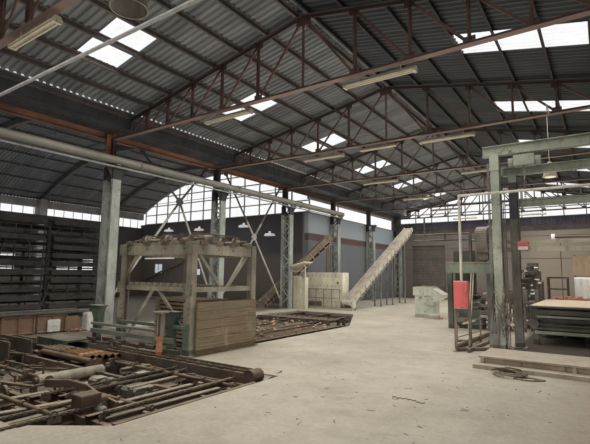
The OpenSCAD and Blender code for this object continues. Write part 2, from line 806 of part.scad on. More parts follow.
// Thin pipes: one under the column ledges, and one across the near bays under the trusses.
pipe_d = 60;
module roof_pipes() {
    color("#8d8a7c") {
        translate([380, truss_y(0), floor_z + ledge_level - plate_t - seat - pipe_d / 2])
            rotate([-90, 0, 0]) cylinder(d = pipe_d, h = 5 * bay + 200);
        x0 = duct_x + duct_d / 2 + seat;
        translate([x0, truss_y(1) + 330, duct_z]) rotate([0, 90, 0])
            cylinder(d = pipe_d, h = main_span - 1500 - x0);
        for (x = [0.153, 0.7, 0.79]) translate([x * main_span, truss_y(1), 0]) {
            translate([0, 320, duct_z]) cube([20, 20, chord_z - duct_z - seat]);
            translate([0, -60, chord_z - 40 - seat]) cube([20, 400, 40]);
        }
    }
}

lamp_level = chord_level - 150;
module lamp(x, y) {
    w = 170;
    h = 90;
    translate([x - lamp_l / 2, y, floor_z + lamp_level - h / 2]) along_x(0, lamp_l)
        polygon([[-w / 2, 0], [w / 2, 0], [w / 2 - 40, h * 0.8], [40 - w / 2, h * 0.8]]);
    for (dx = [-0.3, 0.3])
        translate([x + dx * lamp_l - 8, y - 8, floor_z + lamp_level - h / 2 + h * 0.8])
            cube([16, 16, 150 - h * 0.3]);
}
module ceiling_lights() {
    color("#d8d4c4") for (i = [0 : bays]) for (x = [ridge_x - lamp_left, ridge_x + lamp_right])
        lamp(x, truss_y(i));
}

// Fixed plant. Its places are measured across from the column row and along from the inner
// face of the near end wall. The press plant keeps its distance from the right wall.
module on_floor(x, d, z = 0) {
    translate([x, d - y_inner, floor_z + z]) children();
}
module box_at(x, d, z, size) {
    on_floor(x, d, z) cube(size);
}
// A round bar along X or Y, given by the middle of its starting end.
module rod_x(x, d, z, l, dia) {
    on_floor(x, d, z) rotate([0, 90, 0]) cylinder(d = dia, h = l);
}
module rod_y(x, d, z, l, dia) {
    on_floor(x, d, z) rotate([-90, 0, 0]) cylinder(d = dia, h = l);
}
// A steel channel along Y or X, with its back to the left or the front and its top at z.
module rail_y(x, d, z, l) {
    on_floor(x, d, z - rail_h) translate([0, 0, rail_h / 2]) along_y(0, l)
        channel(rail_h, rail_w, rail_t);
}
module rail_x(x, d, z, l) {
    on_floor(x, d, z - rail_h) translate([0, 0, rail_h / 2]) along_x(0, l)
        channel(rail_h, rail_w, rail_t);
}
rail_h = 140;
rail_w = 70;
rail_t = 10;

// Pit machinery: rails on cross members and feet, a chain arm, rollers, a trough and a drive.
rail_top = -15;
foot_w = 90;
cross_x = 1300;
cross_rows = [2900, 4800, 6300, 7120];
// Right end of a cross member, clear of the pit's edge.
function cross_end(d) = (d < step_d[1] ? step_x : pit_right) - 60;
long_rails = [[pit_right - 130, 4780, 7200], [pit_right - 620, 4750, 7200],
    [pit_right - 970, 2850, 5200], [pit_right - 1320, 2850, 5350],
    [pit_right - 1700, 5000, 7200], [pit_right - 1950, 4750, 7200]];
module pit_feet(x, d) {
    box_at(x, d, -pit_depth, [foot_w, foot_w, pit_depth - 60]);
}
module chain_arm() {
    l = 3900;
    x0 = pit_right - 4150;
    d0 = 7260;
    rail_x(x0, d0, 60, l);
    rail_x(x0, d0 + 150, 60, l);
    for (k = [0 : 15])
        rod_y(x0 + 90 + k * 242, d0 + rail_t, 30, 160, 56);
    rod_y(x0 + l, d0 - 40, 20, 240, 230);
    box_at(x0 + l - 60, d0 - 20, -pit_depth, [120, 60, pit_depth - 40]);
    for (k = [0.15, 0.6]) box_at(x0 + l * k, d0, -pit_depth, [foot_w, 60, pit_depth - 60]);
}
module roller_pack() {
    for (k = [0 : 4]) rod_x(2900, 6560 + k * 130, -20, 1780, 110);
    for (x = [2860, 4640]) box_at(x, 6480, -pit_depth, [50, 680, pit_depth + 10]);
}
module drive() {
    rod_x(4900, 4300, -110, 440, 260);
    rod_x(4880, 4300, -110, 60, 300);
    box_at(5330, 4130, -pit_depth, [320, 340, 360]);
    rod_y(5490, 4100, -110, 700, 70);
    rod_y(5490, 4740, -110, 40, 260);
    box_at(4960, 4220, -pit_depth, [300, 160, 140]);
}
module pit_rails() {
    color("#5c4f45") {
        for (r = long_rails) rail_y(r.x, r.y, rail_top, r.z - r.y);
        for (d = cross_rows) {
            rail_x(cross_x, d, rail_top - 60, cross_end(d) - cross_x);
            for (x = [cross_x : 1350 : cross_end(d) - foot_w]) pit_feet(x, d - 10);
        }
        chain_arm();
        roller_pack();
        // Open trough
        box_at(1150, 6000, -pit_depth, [1500, 460, 30]);
        for (d = [6000, 6430]) box_at(1150, d, -pit_depth, [1500, 30, pit_depth + 200]);
        drive();
        // Gearbox on the near rails
        box_at(pit_right - 1040, 4820, rail_top - 100, [220, 260, 260]);
        rod_y(pit_right - 930, 5070, rail_top + 40, 140, 120);
    }
}

// Conveyor in the second pit: long rails on cross members, and a roller bed across them.
bed_d = [15500, 16250];
function trench_edge(d) = d < narrow_d ? trench_right
    : trench_right - (trench_right - narrow_x) * (d - narrow_d) / (trench_d[1] - narrow_d);
module trench_conveyor() {
    x0 = cross_x + 200;
    step = (trench_right - 350 - x0) / 3;
    rail_start = trench_d[0] + 120;
    rail_ends = [trench_d[1] - 100, trench_d[1] - 100, 17600, narrow_d + 150];
    cross_z = rail_top - 60;
    color("#6a5a4c") {
        for (k = [0 : 3]) rail_y(x0 + k * step, rail_start, rail_top, rail_ends[k] - rail_start);
        for (d = [10200, 11700, 13200, 14700, 17300, 18450]) {
            end = trench_edge(d + rail_w) - 160;
            rail_x(cross_x, d, cross_z, end - cross_x);
            for (k = [0 : 3]) if (x0 + k * step + foot_w < end) pit_feet(x0 + k * step, d);
        }
        for (d = bed_d) {
            rail_x(cross_x, d, 40, 3300);
            for (x = [cross_x, 2900, 4450]) pit_feet(x, d - 10);
        }
        for (k = [0 : 13])
            rod_y(cross_x + 150 + k * 233, bed_d[0] + rail_t, -10, bed_d[1] - bed_d[0] + 20, 90);
    }
}

// Setting machine: a frame of channels with braces, shafts and discs on its top.
sm_x0 = 3550;
sm_x1 = 5750;
sm_d0 = 7960;
sm_d1 = 9820;
sm_post = 146;
module machine_post(x, d) {
    difference() {
        box_at(x - sm_post / 2, d - sm_post / 2, 0, [sm_post, sm_post, machine_h]);
        box_at(x - sm_post / 2 + 12, d - sm_post / 2 + 50, -bore,
            [sm_post - 24, sm_post, machine_h + 2 * bore]);
        // Row of setting holes
        for (k = [0 : 9]) rod_y(x, d - sm_post, 180 + k * 95, sm_post, 34);
    }
    box_at(x - 130, d - 130, 0, [260, 260, 16]);
}
module machine_beam_x(d, z, h) {
    box_at(sm_x0 - sm_post / 2, d - 45, z, [sm_x1 - sm_x0 + sm_post, 90, h]);
}
module machine_beam_y(x, z, h) {
    box_at(x - 45, sm_d0, z, [90, sm_d1 - sm_d0, h]);
}
brace_w = 62;
module stub_post(x, d) {
    h = 830;
    box_at(x - 90, d - 60, 0, [180, 120, h]);
    on_floor(x, d) translate([0, 70, 0]) along_y(-140, 0)
        polygon([[-90, h - 260], [90, h - 260], [230, h], [-230, h]]);
    box_at(x - 240, d - 110, h, [480, 220, 25]);
    box_at(x - 150, d - 110, 0, [300, 220, 16]);
}
module setting_machine() {
    beam_z = machine_h - 215;
    mid_z = 1250;
    color("#7d7a5f") {
        for (x = [sm_x0, sm_x1]) for (d = [sm_d0, sm_d1]) machine_post(x, d);
        for (d = [sm_d0, sm_d1]) {
            machine_beam_x(d, beam_z, 215);
            machine_beam_x(d, mid_z, 95);
        }
        for (x = [sm_x0, sm_x1]) {
            machine_beam_y(x, beam_z, 215);
            machine_beam_y(x, mid_z, 95);
        }
        // Braces in the front face, spread below the middle beam
        mid_x = (sm_x0 + sm_x1) / 2;
        on_floor(0, sm_d0) along_y(-20, 20) {
            bar([mid_x - 100, mid_z + 20], [sm_x0 + 120, 120], brace_w);
            bar([mid_x + 100, mid_z + 20], [sm_x1 - 120, 420], brace_w);
            bar([sm_x0 + 40, beam_z - 480], [sm_x0 + 420, beam_z + 20], brace_w);
        }
        // Braces in the right face, meeting on the middle beam
        mid_d = (sm_d0 + sm_d1) / 2;
        on_floor(sm_x1, 0) along_x(-20, 20) for (s = [-1, 1])
            bar([mid_d + s * 760, beam_z + 20], [mid_d + s * 80, mid_z + 60], brace_w);
        // Shafts, discs and drive on the top
        rod_x(sm_x0 + 300, sm_d0 + 260, machine_h + 120, 1750, 60);
        rod_x(sm_x0 + 300, sm_d1 - 260, machine_h + 120, 1750, 60);
        for (x = [sm_x0 + 420, sm_x0 + 1120, sm_x0 + 1880]) for (d = [sm_d0 + 260, sm_d1 - 260]) {
            rod_x(x, d, machine_h + 120, 46, 220);
            box_at(x + 70, d - 60, machine_h - 10, [40, 120, 190]);
        }
        for (d = [sm_d0 + 200, sm_d1 - 320])
            box_at(sm_x0 - 20, d, machine_h - 60, [sm_x1 - sm_x0 + 40, 120, 60]);
        box_at(sm_x1 - 900, sm_d0 + 300, machine_h - 10, [360, 900, 60]);
        box_at(sm_x1 - 860, sm_d0 + 700, machine_h, [280, 420, 260]);
        rod_x(sm_x1 - 580, sm_d0 + 900, machine_h + 160, 330, 200);
        stub_post(sm_x0 - 900, sm_d0 - 60);
        stub_post(sm_x1 - 470, sm_d0 - 60);
    }
}
board_t = 60;
board_gap = 28;
module stacked_boards() {
    panel_x = sm_x1 + sm_post / 2 + 60;
    plank = 175;
    planks = 6;
    stack_x = sm_x0 + 320;
    stack_d = sm_d0 + 620;
    stack_w = 1560;
    color("#806a50") {
        // Plank panel on the machine's right side, with a groove at every joint
        on_floor(panel_x, sm_d0 + 30) along_y(0, sm_d1 - sm_d0 - 40)
            polygon(concat([[0, 0]], [for (k = [0 : planks - 1]) each [[38, k * plank + 5],
                [38, (k + 1) * plank - 5], [30, (k + 1) * plank]]], [[0, planks * plank]]));
        // Stack of drying boards on battens, inside the machine
        for (k = [0 : 11])
            box_at(stack_x, stack_d, k * (board_t + board_gap) + board_gap, [stack_w, 800, board_t]);
        for (x = [120, stack_w - 180])
            box_at(stack_x + x, stack_d + 20, 0, [60, 760, 12 * (board_t + board_gap) - board_t]);
    }
}

// Drying racks in the vaulted nave: shelves between two rows of posts.
rack_bays = 4;
rack_bay = 2200;
rack_w = 1900;
rack_x = -5300;
rack_d = 3000;
shelf_step = 290;
shelves = 11;
rack_post = 90;
module drying_racks() {
    head = shelf_step * shelves + 260;
    l = rack_bays * rack_bay + rack_post;
    color("#4a4640") {
        for (b = [0 : rack_bays]) for (x = [0, rack_w - rack_post])
            box_at(rack_x + x, rack_d + b * rack_bay, 0, [rack_post, rack_post, head]);
        // Shelves between the posts
        for (k = [1 : shelves])
            box_at(rack_x + rack_post, rack_d, k * shelf_step, [rack_w - 2 * rack_post, l, 45]);
        // Runway on the racks' heads
        for (x = [-60, rack_w - 100])
            box_at(rack_x + x, rack_d - 300, head, [160, l + 600, 120]);
    }
}

// An inclined conveyor, drawn level along X from the middle of its foot pulley.
module conveyor_frame(l, w, side_h) {
    side_t = 40;
    for (y = [-w / 2, w / 2 - side_t]) translate([-150, y, -side_h / 2]) cube([l + 300, side_t, side_h]);
    for (x = [0, l]) translate([x, -w / 2 - 40, 0]) rotate([-90, 0, 0]) cylinder(d = 230, h = w + 80);
    translate([0, -w / 2 + side_t, side_h / 2 - 90]) cube([l, w - 2 * side_t, 24]);
    // Return strand on brackets, seen as a row of slots under the sides
    n = round(l / 420);
    for (k = [0 : n]) translate([60 + k * (l - 200) / n, -w / 2, -side_h / 2 - 110])
        cube([90, w, 140]);
    translate([0, -w / 2, -side_h / 2 - 150]) cube([l, w, 50]);
}
module conveyor_leg(w, h) {
    for (y = [-w / 2, w / 2 - 60]) translate([0, y, 0]) cube([60, 60, h]);
    translate([0, -w / 2, h * 0.45]) cube([60, w, 60]);
    translate([-60, -w / 2 - 40, 0]) cube([180, w + 80, 14]);
}
right_l = 9000;
right_w = 500;
right_a = 27.3;
right_z = 330;
module right_conveyor() {
    x = 2620;
    y = y_vault - 1050;
    color("#b8b09a") {
        translate([x, y, floor_z + right_z]) rotate([0, 0, 90]) rotate([0, -right_a, 0])
            conveyor_frame(right_l, right_w, 240);
        for (s = [0.42, 0.62, 0.86])
            translate([x, y + s * right_l * cos(right_a), floor_z]) rotate([0, 0, 90])
                conveyor_leg(right_w - 90, right_z + s * right_l * sin(right_a) - 260);
        translate([x - 380, y - 330, floor_z]) cube([760, 420, 60]);
        for (dx = [-380, 320]) translate([x + dx, y - 200, floor_z]) cube([60, 300, 480]);
    }
}
left_l = 4750;
left_w = 420;
left_a = 43;
left_turn = 54;
module left_conveyor() {
    color("#7c6a58") translate([-1180, y_vault - 2780, floor_z + 260]) rotate([0, 0, left_turn]) {
        rotate([0, -left_a, 0]) conveyor_frame(left_l, left_w, 300);
        for (s = [0.55, 1]) translate([s * left_l * cos(left_a), 0, -260])
            conveyor_leg(left_w - 90, 260 + s * left_l * sin(left_a) - 300);
        translate([-260, -left_w / 2 - 60, -260]) cube([360, left_w + 120, 200]);
    }
}

// Control cabinet between the conveyors' feet, and a small booth under a corrugated canopy.
cab_w = 2700;
cab_d = 620;
cab_h = 1740;
module cabinet_body() {
    doors = 6;
    groove = 16;
    translate([40, 40, 0]) cube([cab_w - 80, cab_d - 80, 90]);
    difference() {
        translate([0, 0, 90]) cube([cab_w, cab_d, cab_h - 90]);
        for (k = [1 : doors - 1])
            translate([k * cab_w / doors - groove / 2, -bore, 130])
                cube([groove, 14 + bore, cab_h - 180]);
        translate([20, -bore, 1130]) cube([cab_w - 40, 14 + bore, groove]);
        // Vent in the foot of the left doors
        for (k = [0 : 5]) translate([90, -bore, 190 + k * 45]) cube([560, 30 + bore, 22]);
    }
    for (k = [0 : doors - 1]) translate([(k + 0.8) * cab_w / doors, -24, 820])
        cube([30, 24, 120]);
}
module booth() {
    canopy_l = 720;
    canopy_z = 1930;
    cube([600, 300, 1480]);
    for (x = [-120, 700]) translate([x, -190, 0]) cube([50, 50, canopy_z + 70 + x * 0.2]);
    translate([-120, -190, canopy_z - 160]) cube([870, 40, 40]);
    translate([-250, -560, canopy_z]) rotate([0, -12, 0]) along_y(0, canopy_l) sheet_profile(7);
    // Cream door leaf before the booth
    translate([-40, -60, 0]) cube([420, 60, 1560]);
}
module control_cabinet() {
    color("#cfc8a8") {
        translate([-500, y_vault - 800, floor_z]) cabinet_body();
        translate([150, y_vault - 1900, floor_z]) booth();
    }
}

// Pale green gantry over the press table, with a hoist on its cross beam.
g_x0 = main_span - 3780;
g_x1 = main_span - 700;
g_d0 = 12825;
g_d1 = 13430;
g_post = 184;
module i_beam(h, w) {
    t = 14;
    square([w, t]);
    translate([0, h - t]) square([w, t]);
    translate([w / 2 - t / 2, 0]) square([t, h]);
}
module gantry_post(x, d, h, w) {
    on_floor(x - w / 2, d - w / 2) linear_extrude(h) {
        square([w, 14]);
        translate([0, w - 14]) square([w, 14]);
        translate([w / 2 - 7, 0]) square([14, w]);
    }
    box_at(x - w / 2 - 60, d - w / 2 - 60, 0, [w + 120, w + 120, 18]);
}
module gantry() {
    rear_h = gantry_h - 380;
    color("#8c9a86") {
        for (x = [g_x0, g_x1]) {
            gantry_post(x, g_d0, gantry_h, g_post);
            gantry_post(x + 280, g_d1, rear_h, 180);
        }
        // Front and rear beams
        on_floor(g_x0 - 260, g_d0 - 90, gantry_h) along_x(0, g_x1 - g_x0 + 520) i_beam(240, 180);
        on_floor(g_x0 + 60, g_d1 - 75, rear_h) along_x(0, g_x1 - g_x0 + 330) i_beam(200, 150);
        on_floor(g_x0 + 190, g_d1 - 45, 3300) along_x(0, g_x1 - g_x0) i_beam(170, 90);
        on_floor(g_x0 + 100, g_d1 - 105, 2230) along_x(0, g_x1 - g_x0 + 90) square([60, 110]);
        on_floor(g_x0 + 100, g_d1 - 105, 2420) along_x(0, g_x1 - g_x0 + 90) square([60, 80]);
        // Knee plates and short cross beams between the rows
        for (x = [g_x0 + 20, g_x1 - 60]) {
            box_at(x, g_d0, rear_h + 30, [80, g_d1 - g_d0, 110]);
            on_floor(x - 20, g_d0 + 60) along_x(0, 24)
                polygon([[0, gantry_h - 420], [0, gantry_h], [420, gantry_h]]);
        }
        // Hoist
        box_at(g_x0 + 420, g_d0 - 150, gantry_h - 300, [420, 300, 240]);
        box_at(g_x0 + 520, g_d0 - 20, gantry_h - 80, [60, 40, 100]);
        rod_x(g_x0 + 300, g_d0, gantry_h - 190, 660, 200);
        box_at(g_x0 + 600, g_d0 - 15, gantry_h - 620, [30, 30, 330]);
    }
}

// Press table under the gantry, with a plank platform in front.
module press_table() {
    x0 = main_span - 3380;
    l = 2960;
    d0 = 14275;
    w = 5100;
    top = 930;
    color("#56594f") {
        box_at(x0, d0, top - 40, [l, w, 40]);
        for (x = [60, l / 2 - 60, l - 180]) for (d = [40, w / 3, w * 2 / 3, w - 160])
            box_at(x0 + x, d0 + d, 0, [120, 120, top - 30]);
        for (d = [40, w - 120]) {
            on_floor(x0, d0 + d, top - 200) along_x(0, l) square([80, 110]);
            on_floor(x0, d0 + d, 300) along_x(0, l) i_beam(190, 80);
        }
        for (x = [60, l - 150]) on_floor(x0 + x, d0 + 60, top - 200)
            along_y(0, w - 120) square([90, 110]);
        for (d = [220 : 430 : w - 400]) rod_x(x0 + 120, d0 + d, 560, l - 240, 120);
        for (x = [80, l - 140]) box_at(x0 + x, d0 + 100, 480, [60, w - 200, 90]);
        box_at(x0 + 1120, d0 + 330, 0, [700, 600, 480]);
        // Platform of boards on bearers, with a kerb rail before it
        box_at(x0 - 460, 10325, 0, [l + 420, 70, 70]);
        for (x = [0, 1500, l - 60]) box_at(x0 - 460 + x, 10940, 0, [60, 1180, 95]);
        for (k = [0 : 4]) box_at(x0 - 500, 10960 + k * 228, 95, [l + 460, 218, 35]);
    }
}

// Old press beyond the gantry: a bed on legs with a drum wheel over it.
drum_z = 2780;
module brick_press() {
    x0 = main_span - 5950;
    d0 = 16320;
    bed = 1750;
    bed_top = bed + 300;
    color("#5d6a58") {
        for (x = [0, 1180]) for (d = [0, 950]) box_at(x0 + x, d0 + d, 0, [150, 150, bed]);
        box_at(x0 - 20, d0 - 20, bed, [1370, 1160, 300]);
        for (d = [20, 1000]) box_at(x0, d0 + d, 500, [1300, 70, 110]);
        box_at(x0 + 250, d0 + 300, 0, [700, 600, 900]);
        box_at(x0 + 150, d0 + 420, 900, [560, 400, bed - 900]);
        // Drum wheel on a shaft between two uprights
        for (x = [650, 1250]) box_at(x0 + x, d0 + 195, bed_top, [70, 120, 930]);
        rod_x(x0 + 650, d0 + 255, drum_z, 670, 90);
        rod_x(x0 + 900, d0 + 255, drum_z, 320, 800);
        box_at(x0 + 60, d0 + 560, bed_top, [980, 420, 420]);
        rod_y(x0 + 1060, d0 + 255, bed_top + 240, 600, 300);
        // Pipes that leave the upright towards the column row, with a riser
        for (z = [2820, 3010]) rod_x(x0 - 1190, d0 + 255, z, 1860, pipe_d);
        for (x = [-1180, -800, -130]) box_at(x0 + x, d0 + 235, 2790, [50, 40, 250]);
        on_floor(x0 - 790, d0 + 255, 2800) cylinder(d = pipe_d, h = 820);
        // Feed conveyor and the machines behind it
        for (x = [1700, 2100]) box_at(x0 + x, d0 + 480, 0, [60, 60, 900]);
        box_at(x0 + 1320, d0 + 420, 860, [1100, 420, 60]);
        box_at(x0 + 2420, d0 + 440, 0, [80, 380, 1250]);
        box_at(x0 + 1700, d0 + 460, 920, [520, 330, 330]);
        box_at(x0 + 1960, d0 + 1850, 0, [520, 600, 1500]);
        box_at(x0 + 2000, d0 + 1900, 1500, [420, 500, 330]);
        box_at(x0 + 2060, d0 + 1960, 1830, [300, 380, 270]);
    }
}

// Service post: a leg frame with a red box and a bent pale pipe that runs to the gantry.
module service_post() {
    x = main_span - 4560;
    d = 12560;
    color("#b0a890") {
        for (dx = [-190, 130]) box_at(x + dx, d, 0, [60, 60, 900]);
        box_at(x - 190, d, 120, [380, 60, 60]);
        box_at(x - 190, d, 620, [380, 60, 60]);
        box_at(x - 160, d - 60, 900, [300, 180, 620]);
        on_floor(x, d + 20, 1500) cylinder(d = pipe_d, h = 2050);
        on_floor(x, d + 20, 3550) sphere(d = 64);
        rod_x(x, d + 20, 3550, 3500, pipe_d);
    }
}

// Pale bench machines on the floor beyond the near bays.
module bench_machines() {
    x0 = main_span - 8100;
    color("#aeb5a4") {
        // Near unit: a narrow body with a wide head, a ledge and a knob
        box_at(x0, 19325, 0, [740, 780, 860]);
        box_at(x0 - 60, 19280, 860, [760, 860, 330]);
        on_floor(x0 + 700, 19300, 0) along_y(0, 800)
            polygon([[0, 620], [60, 620], [440, 820], [440, 900], [0, 1150]]);
        rod_y(x0 + 320, 19160, 1020, 120, 150);
        // Far unit with a lumpy top
        box_at(x0 + 1170, 20600, 0, [700, 640, 900]);
        box_at(x0 + 1140, 20560, 900, [760, 700, 60]);
        box_at(x0 + 1220, 20660, 960, [360, 500, 420]);
        rod_x(x0 + 1580, 20900, 1120, 260, 320);
        box_at(x0 + 660, 18900, 0, [380, 300, 190]);
    }
}

floor_slab();
column(0);  // column_1
column(1);  // column_2
column(2);  // column_3
column(3);  // column_4
column(4);  // column_5
column(5);  // column_6
column(6);  // column_7
column(7);  // column_8
truss(0);  // truss_1
truss(1);  // truss_2
truss(2);  // truss_3
truss(3);  // truss_4
truss(4);  // truss_5
truss(5);  // truss_6
truss(6);  // truss_7
truss(7);  // truss_8
purlins();
roof_left();
roof_right();
skylights();
ridge_cap();
valley_gutter();
valley_beam();
right_gutter();
left_wall();
right_wall();
side_wall();
wall_piers();
ring_beams();
side_glass();
near_wall();
near_frame();
gable_glass();
far_wall();
far_frame();
vault_wall();
vault_frame();
vault_roof_left();
vault_roof_right();
vault_ribs();
vault_purlins();
roller_shutters();
overhead_duct();
column_braces();
roof_pipes();
ceiling_lights();
pit_rails();
trench_conveyor();
setting_machine();
stacked_boards();
drying_racks();
left_conveyor();
right_conveyor();
control_cabinet();
gantry();
press_table();
brick_press();
service_post();
bench_machines();
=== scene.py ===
"""Looks of the two-nave factory hall: finishes, small detail, light and camera. Metres, +Z up."""
import json
import math
import random

import bmesh
import bpy
from mathutils import Matrix, Vector


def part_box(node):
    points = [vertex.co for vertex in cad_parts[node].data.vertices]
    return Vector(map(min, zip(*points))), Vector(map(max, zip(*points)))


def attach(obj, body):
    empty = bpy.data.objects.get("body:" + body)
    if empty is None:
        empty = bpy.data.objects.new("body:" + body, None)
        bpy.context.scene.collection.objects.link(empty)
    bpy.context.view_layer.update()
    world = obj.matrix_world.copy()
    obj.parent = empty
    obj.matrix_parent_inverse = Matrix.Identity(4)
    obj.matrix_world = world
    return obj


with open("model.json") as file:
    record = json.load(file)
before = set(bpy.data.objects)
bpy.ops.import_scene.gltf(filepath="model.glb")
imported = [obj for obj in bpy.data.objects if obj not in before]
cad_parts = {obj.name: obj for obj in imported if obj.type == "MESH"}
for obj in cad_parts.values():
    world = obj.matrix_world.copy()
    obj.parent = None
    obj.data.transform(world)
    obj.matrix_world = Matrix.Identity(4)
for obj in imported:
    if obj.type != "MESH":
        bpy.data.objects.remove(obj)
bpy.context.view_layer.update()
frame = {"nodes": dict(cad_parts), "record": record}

nodes = frame["nodes"]

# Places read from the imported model.
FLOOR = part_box("floor_slab")[1].z
BAY = (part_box("truss_8")[0].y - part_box("truss_1")[0].y) / 7
TRUSS_Y = [0.5 * (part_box(f"truss_{i}")[0].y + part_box(f"truss_{i}")[1].y) for i in range(1, 9)]
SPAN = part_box("right_wall")[0].x
RIDGE_X = SPAN / 2
NEAR_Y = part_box("near_wall")[1].y
FAR_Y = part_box("far_wall")[0].y
LEFT_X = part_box("left_wall")[1].x
VAULT_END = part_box("vault_wall")[0].y
CHORD_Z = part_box("truss_1")[0].z


# Camera: a standing person's view along the hall, 35 degrees left of its length.
EYE = Vector((12.6, -15.18, FLOOR + 1.64))
HEADING = math.radians(34.67)
TILT = math.radians(6.68)
ROLL = math.radians(0.71)
FOCAL_PX = 445.0
IMAGE_W = 590.0
SENSOR_MM = 36.0


def add_camera():
    data = bpy.data.cameras.new("camera")
    data.sensor_width = SENSOR_MM
    data.lens = FOCAL_PX / IMAGE_W * SENSOR_MM
    data.clip_end = 400
    camera = bpy.data.objects.new("camera", data)
    bpy.context.scene.collection.objects.link(camera)
    turn = Matrix.Rotation(HEADING, 3, "Z") @ Matrix.Rotation(math.radians(90) + TILT, 3, "X")
    turn = turn @ Matrix.Rotation(ROLL, 3, "Z")
    camera.matrix_world = Matrix.Translation(EYE) @ turn.to_4x4()
    bpy.context.scene.camera = camera


# Light: a pale world, a soft sun for the outside, and large soft lamps inside.
def add_world():
    bpy.context.scene.view_settings.view_transform = "Standard"
    world = bpy.data.worlds.new("world")
    world.use_nodes = True
    bpy.context.scene.world = world
    tree = world.node_tree
    tree.nodes.clear()
    out = tree.nodes.new("ShaderNodeOutputWorld")
    background = tree.nodes.new("ShaderNodeBackground")
    mix = tree.nodes.new("ShaderNodeMix")
    mix.data_type = "RGBA"
    path = tree.nodes.new("ShaderNodeLightPath")
    mix.inputs["A"].default_value = (0.80, 0.84, 0.9, 1)
    mix.inputs["B"].default_value = (1.0, 1.0, 1.0, 1)
    seen = path.outputs["Is Camera Ray"]
    for ray in ("Is Glossy Ray", "Is Transmission Ray"):
        either = tree.nodes.new("ShaderNodeMath")
        either.operation = "MAXIMUM"
        tree.links.new(seen, either.inputs[0])
        tree.links.new(path.outputs[ray], either.inputs[1])
        seen = either.outputs[0]
    tree.links.new(seen, mix.inputs["Factor"])
    tree.links.new(mix.outputs["Result"], background.inputs["Color"])
    tree.links.new(background.outputs[0], out.inputs["Surface"])


def area_lamp(name, place, size, power, turn=(0, 0, 0), colour=(1.0, 0.97, 0.92)):
    data = bpy.data.lights.new(name, "AREA")
    data.shape = "RECTANGLE"
    data.size, data.size_y = size
    data.energy = power
    data.color = colour
    lamp = bpy.data.objects.new(name, data)
    lamp.location = place
    lamp.rotation_euler = turn
    lamp.visible_camera = False
    lamp.visible_glossy = False
    bpy.context.scene.collection.objects.link(lamp)


def add_lights():
    sun = bpy.data.lights.new("sun", "SUN")
    sun.energy = 1.6
    sun.angle = math.radians(50)
    holder = bpy.data.objects.new("sun", sun)
    holder.rotation_euler = (math.radians(38), 0, math.radians(40))
    bpy.context.scene.collection.objects.link(holder)
    length = FAR_Y - NEAR_Y
    area_lamp("nave_light", (RIDGE_X, 0, CHORD_Z - 0.3), (11.0, length - 3), 2300)
    area_lamp("vault_light", (LEFT_X / 2, (NEAR_Y + VAULT_END) / 2, CHORD_Z - 0.3),
              (11.0, VAULT_END - NEAR_Y - 3), 520, colour=(0.92, 0.96, 1.0))
    area_lamp("floor_bounce", (RIDGE_X, 0, FLOOR + 0.12), (9.0, length - 4), 950, turn=(math.pi, 0, 0),
              colour=(0.98, 0.97, 0.95))
    area_lamp("vault_bounce", (LEFT_X / 2, (NEAR_Y + VAULT_END) / 2, FLOOR + 0.12),
              (10.0, VAULT_END - NEAR_Y - 4), 420, turn=(math.pi, 0, 0), colour=(0.96, 0.98, 1.0))
    area_lamp("gable_light", (RIDGE_X, FAR_Y - 0.5, CHORD_Z + 0.3), (13.0, 1.0), 260,
              turn=(math.radians(-62), 0, 0), colour=(0.9, 0.96, 1.0))


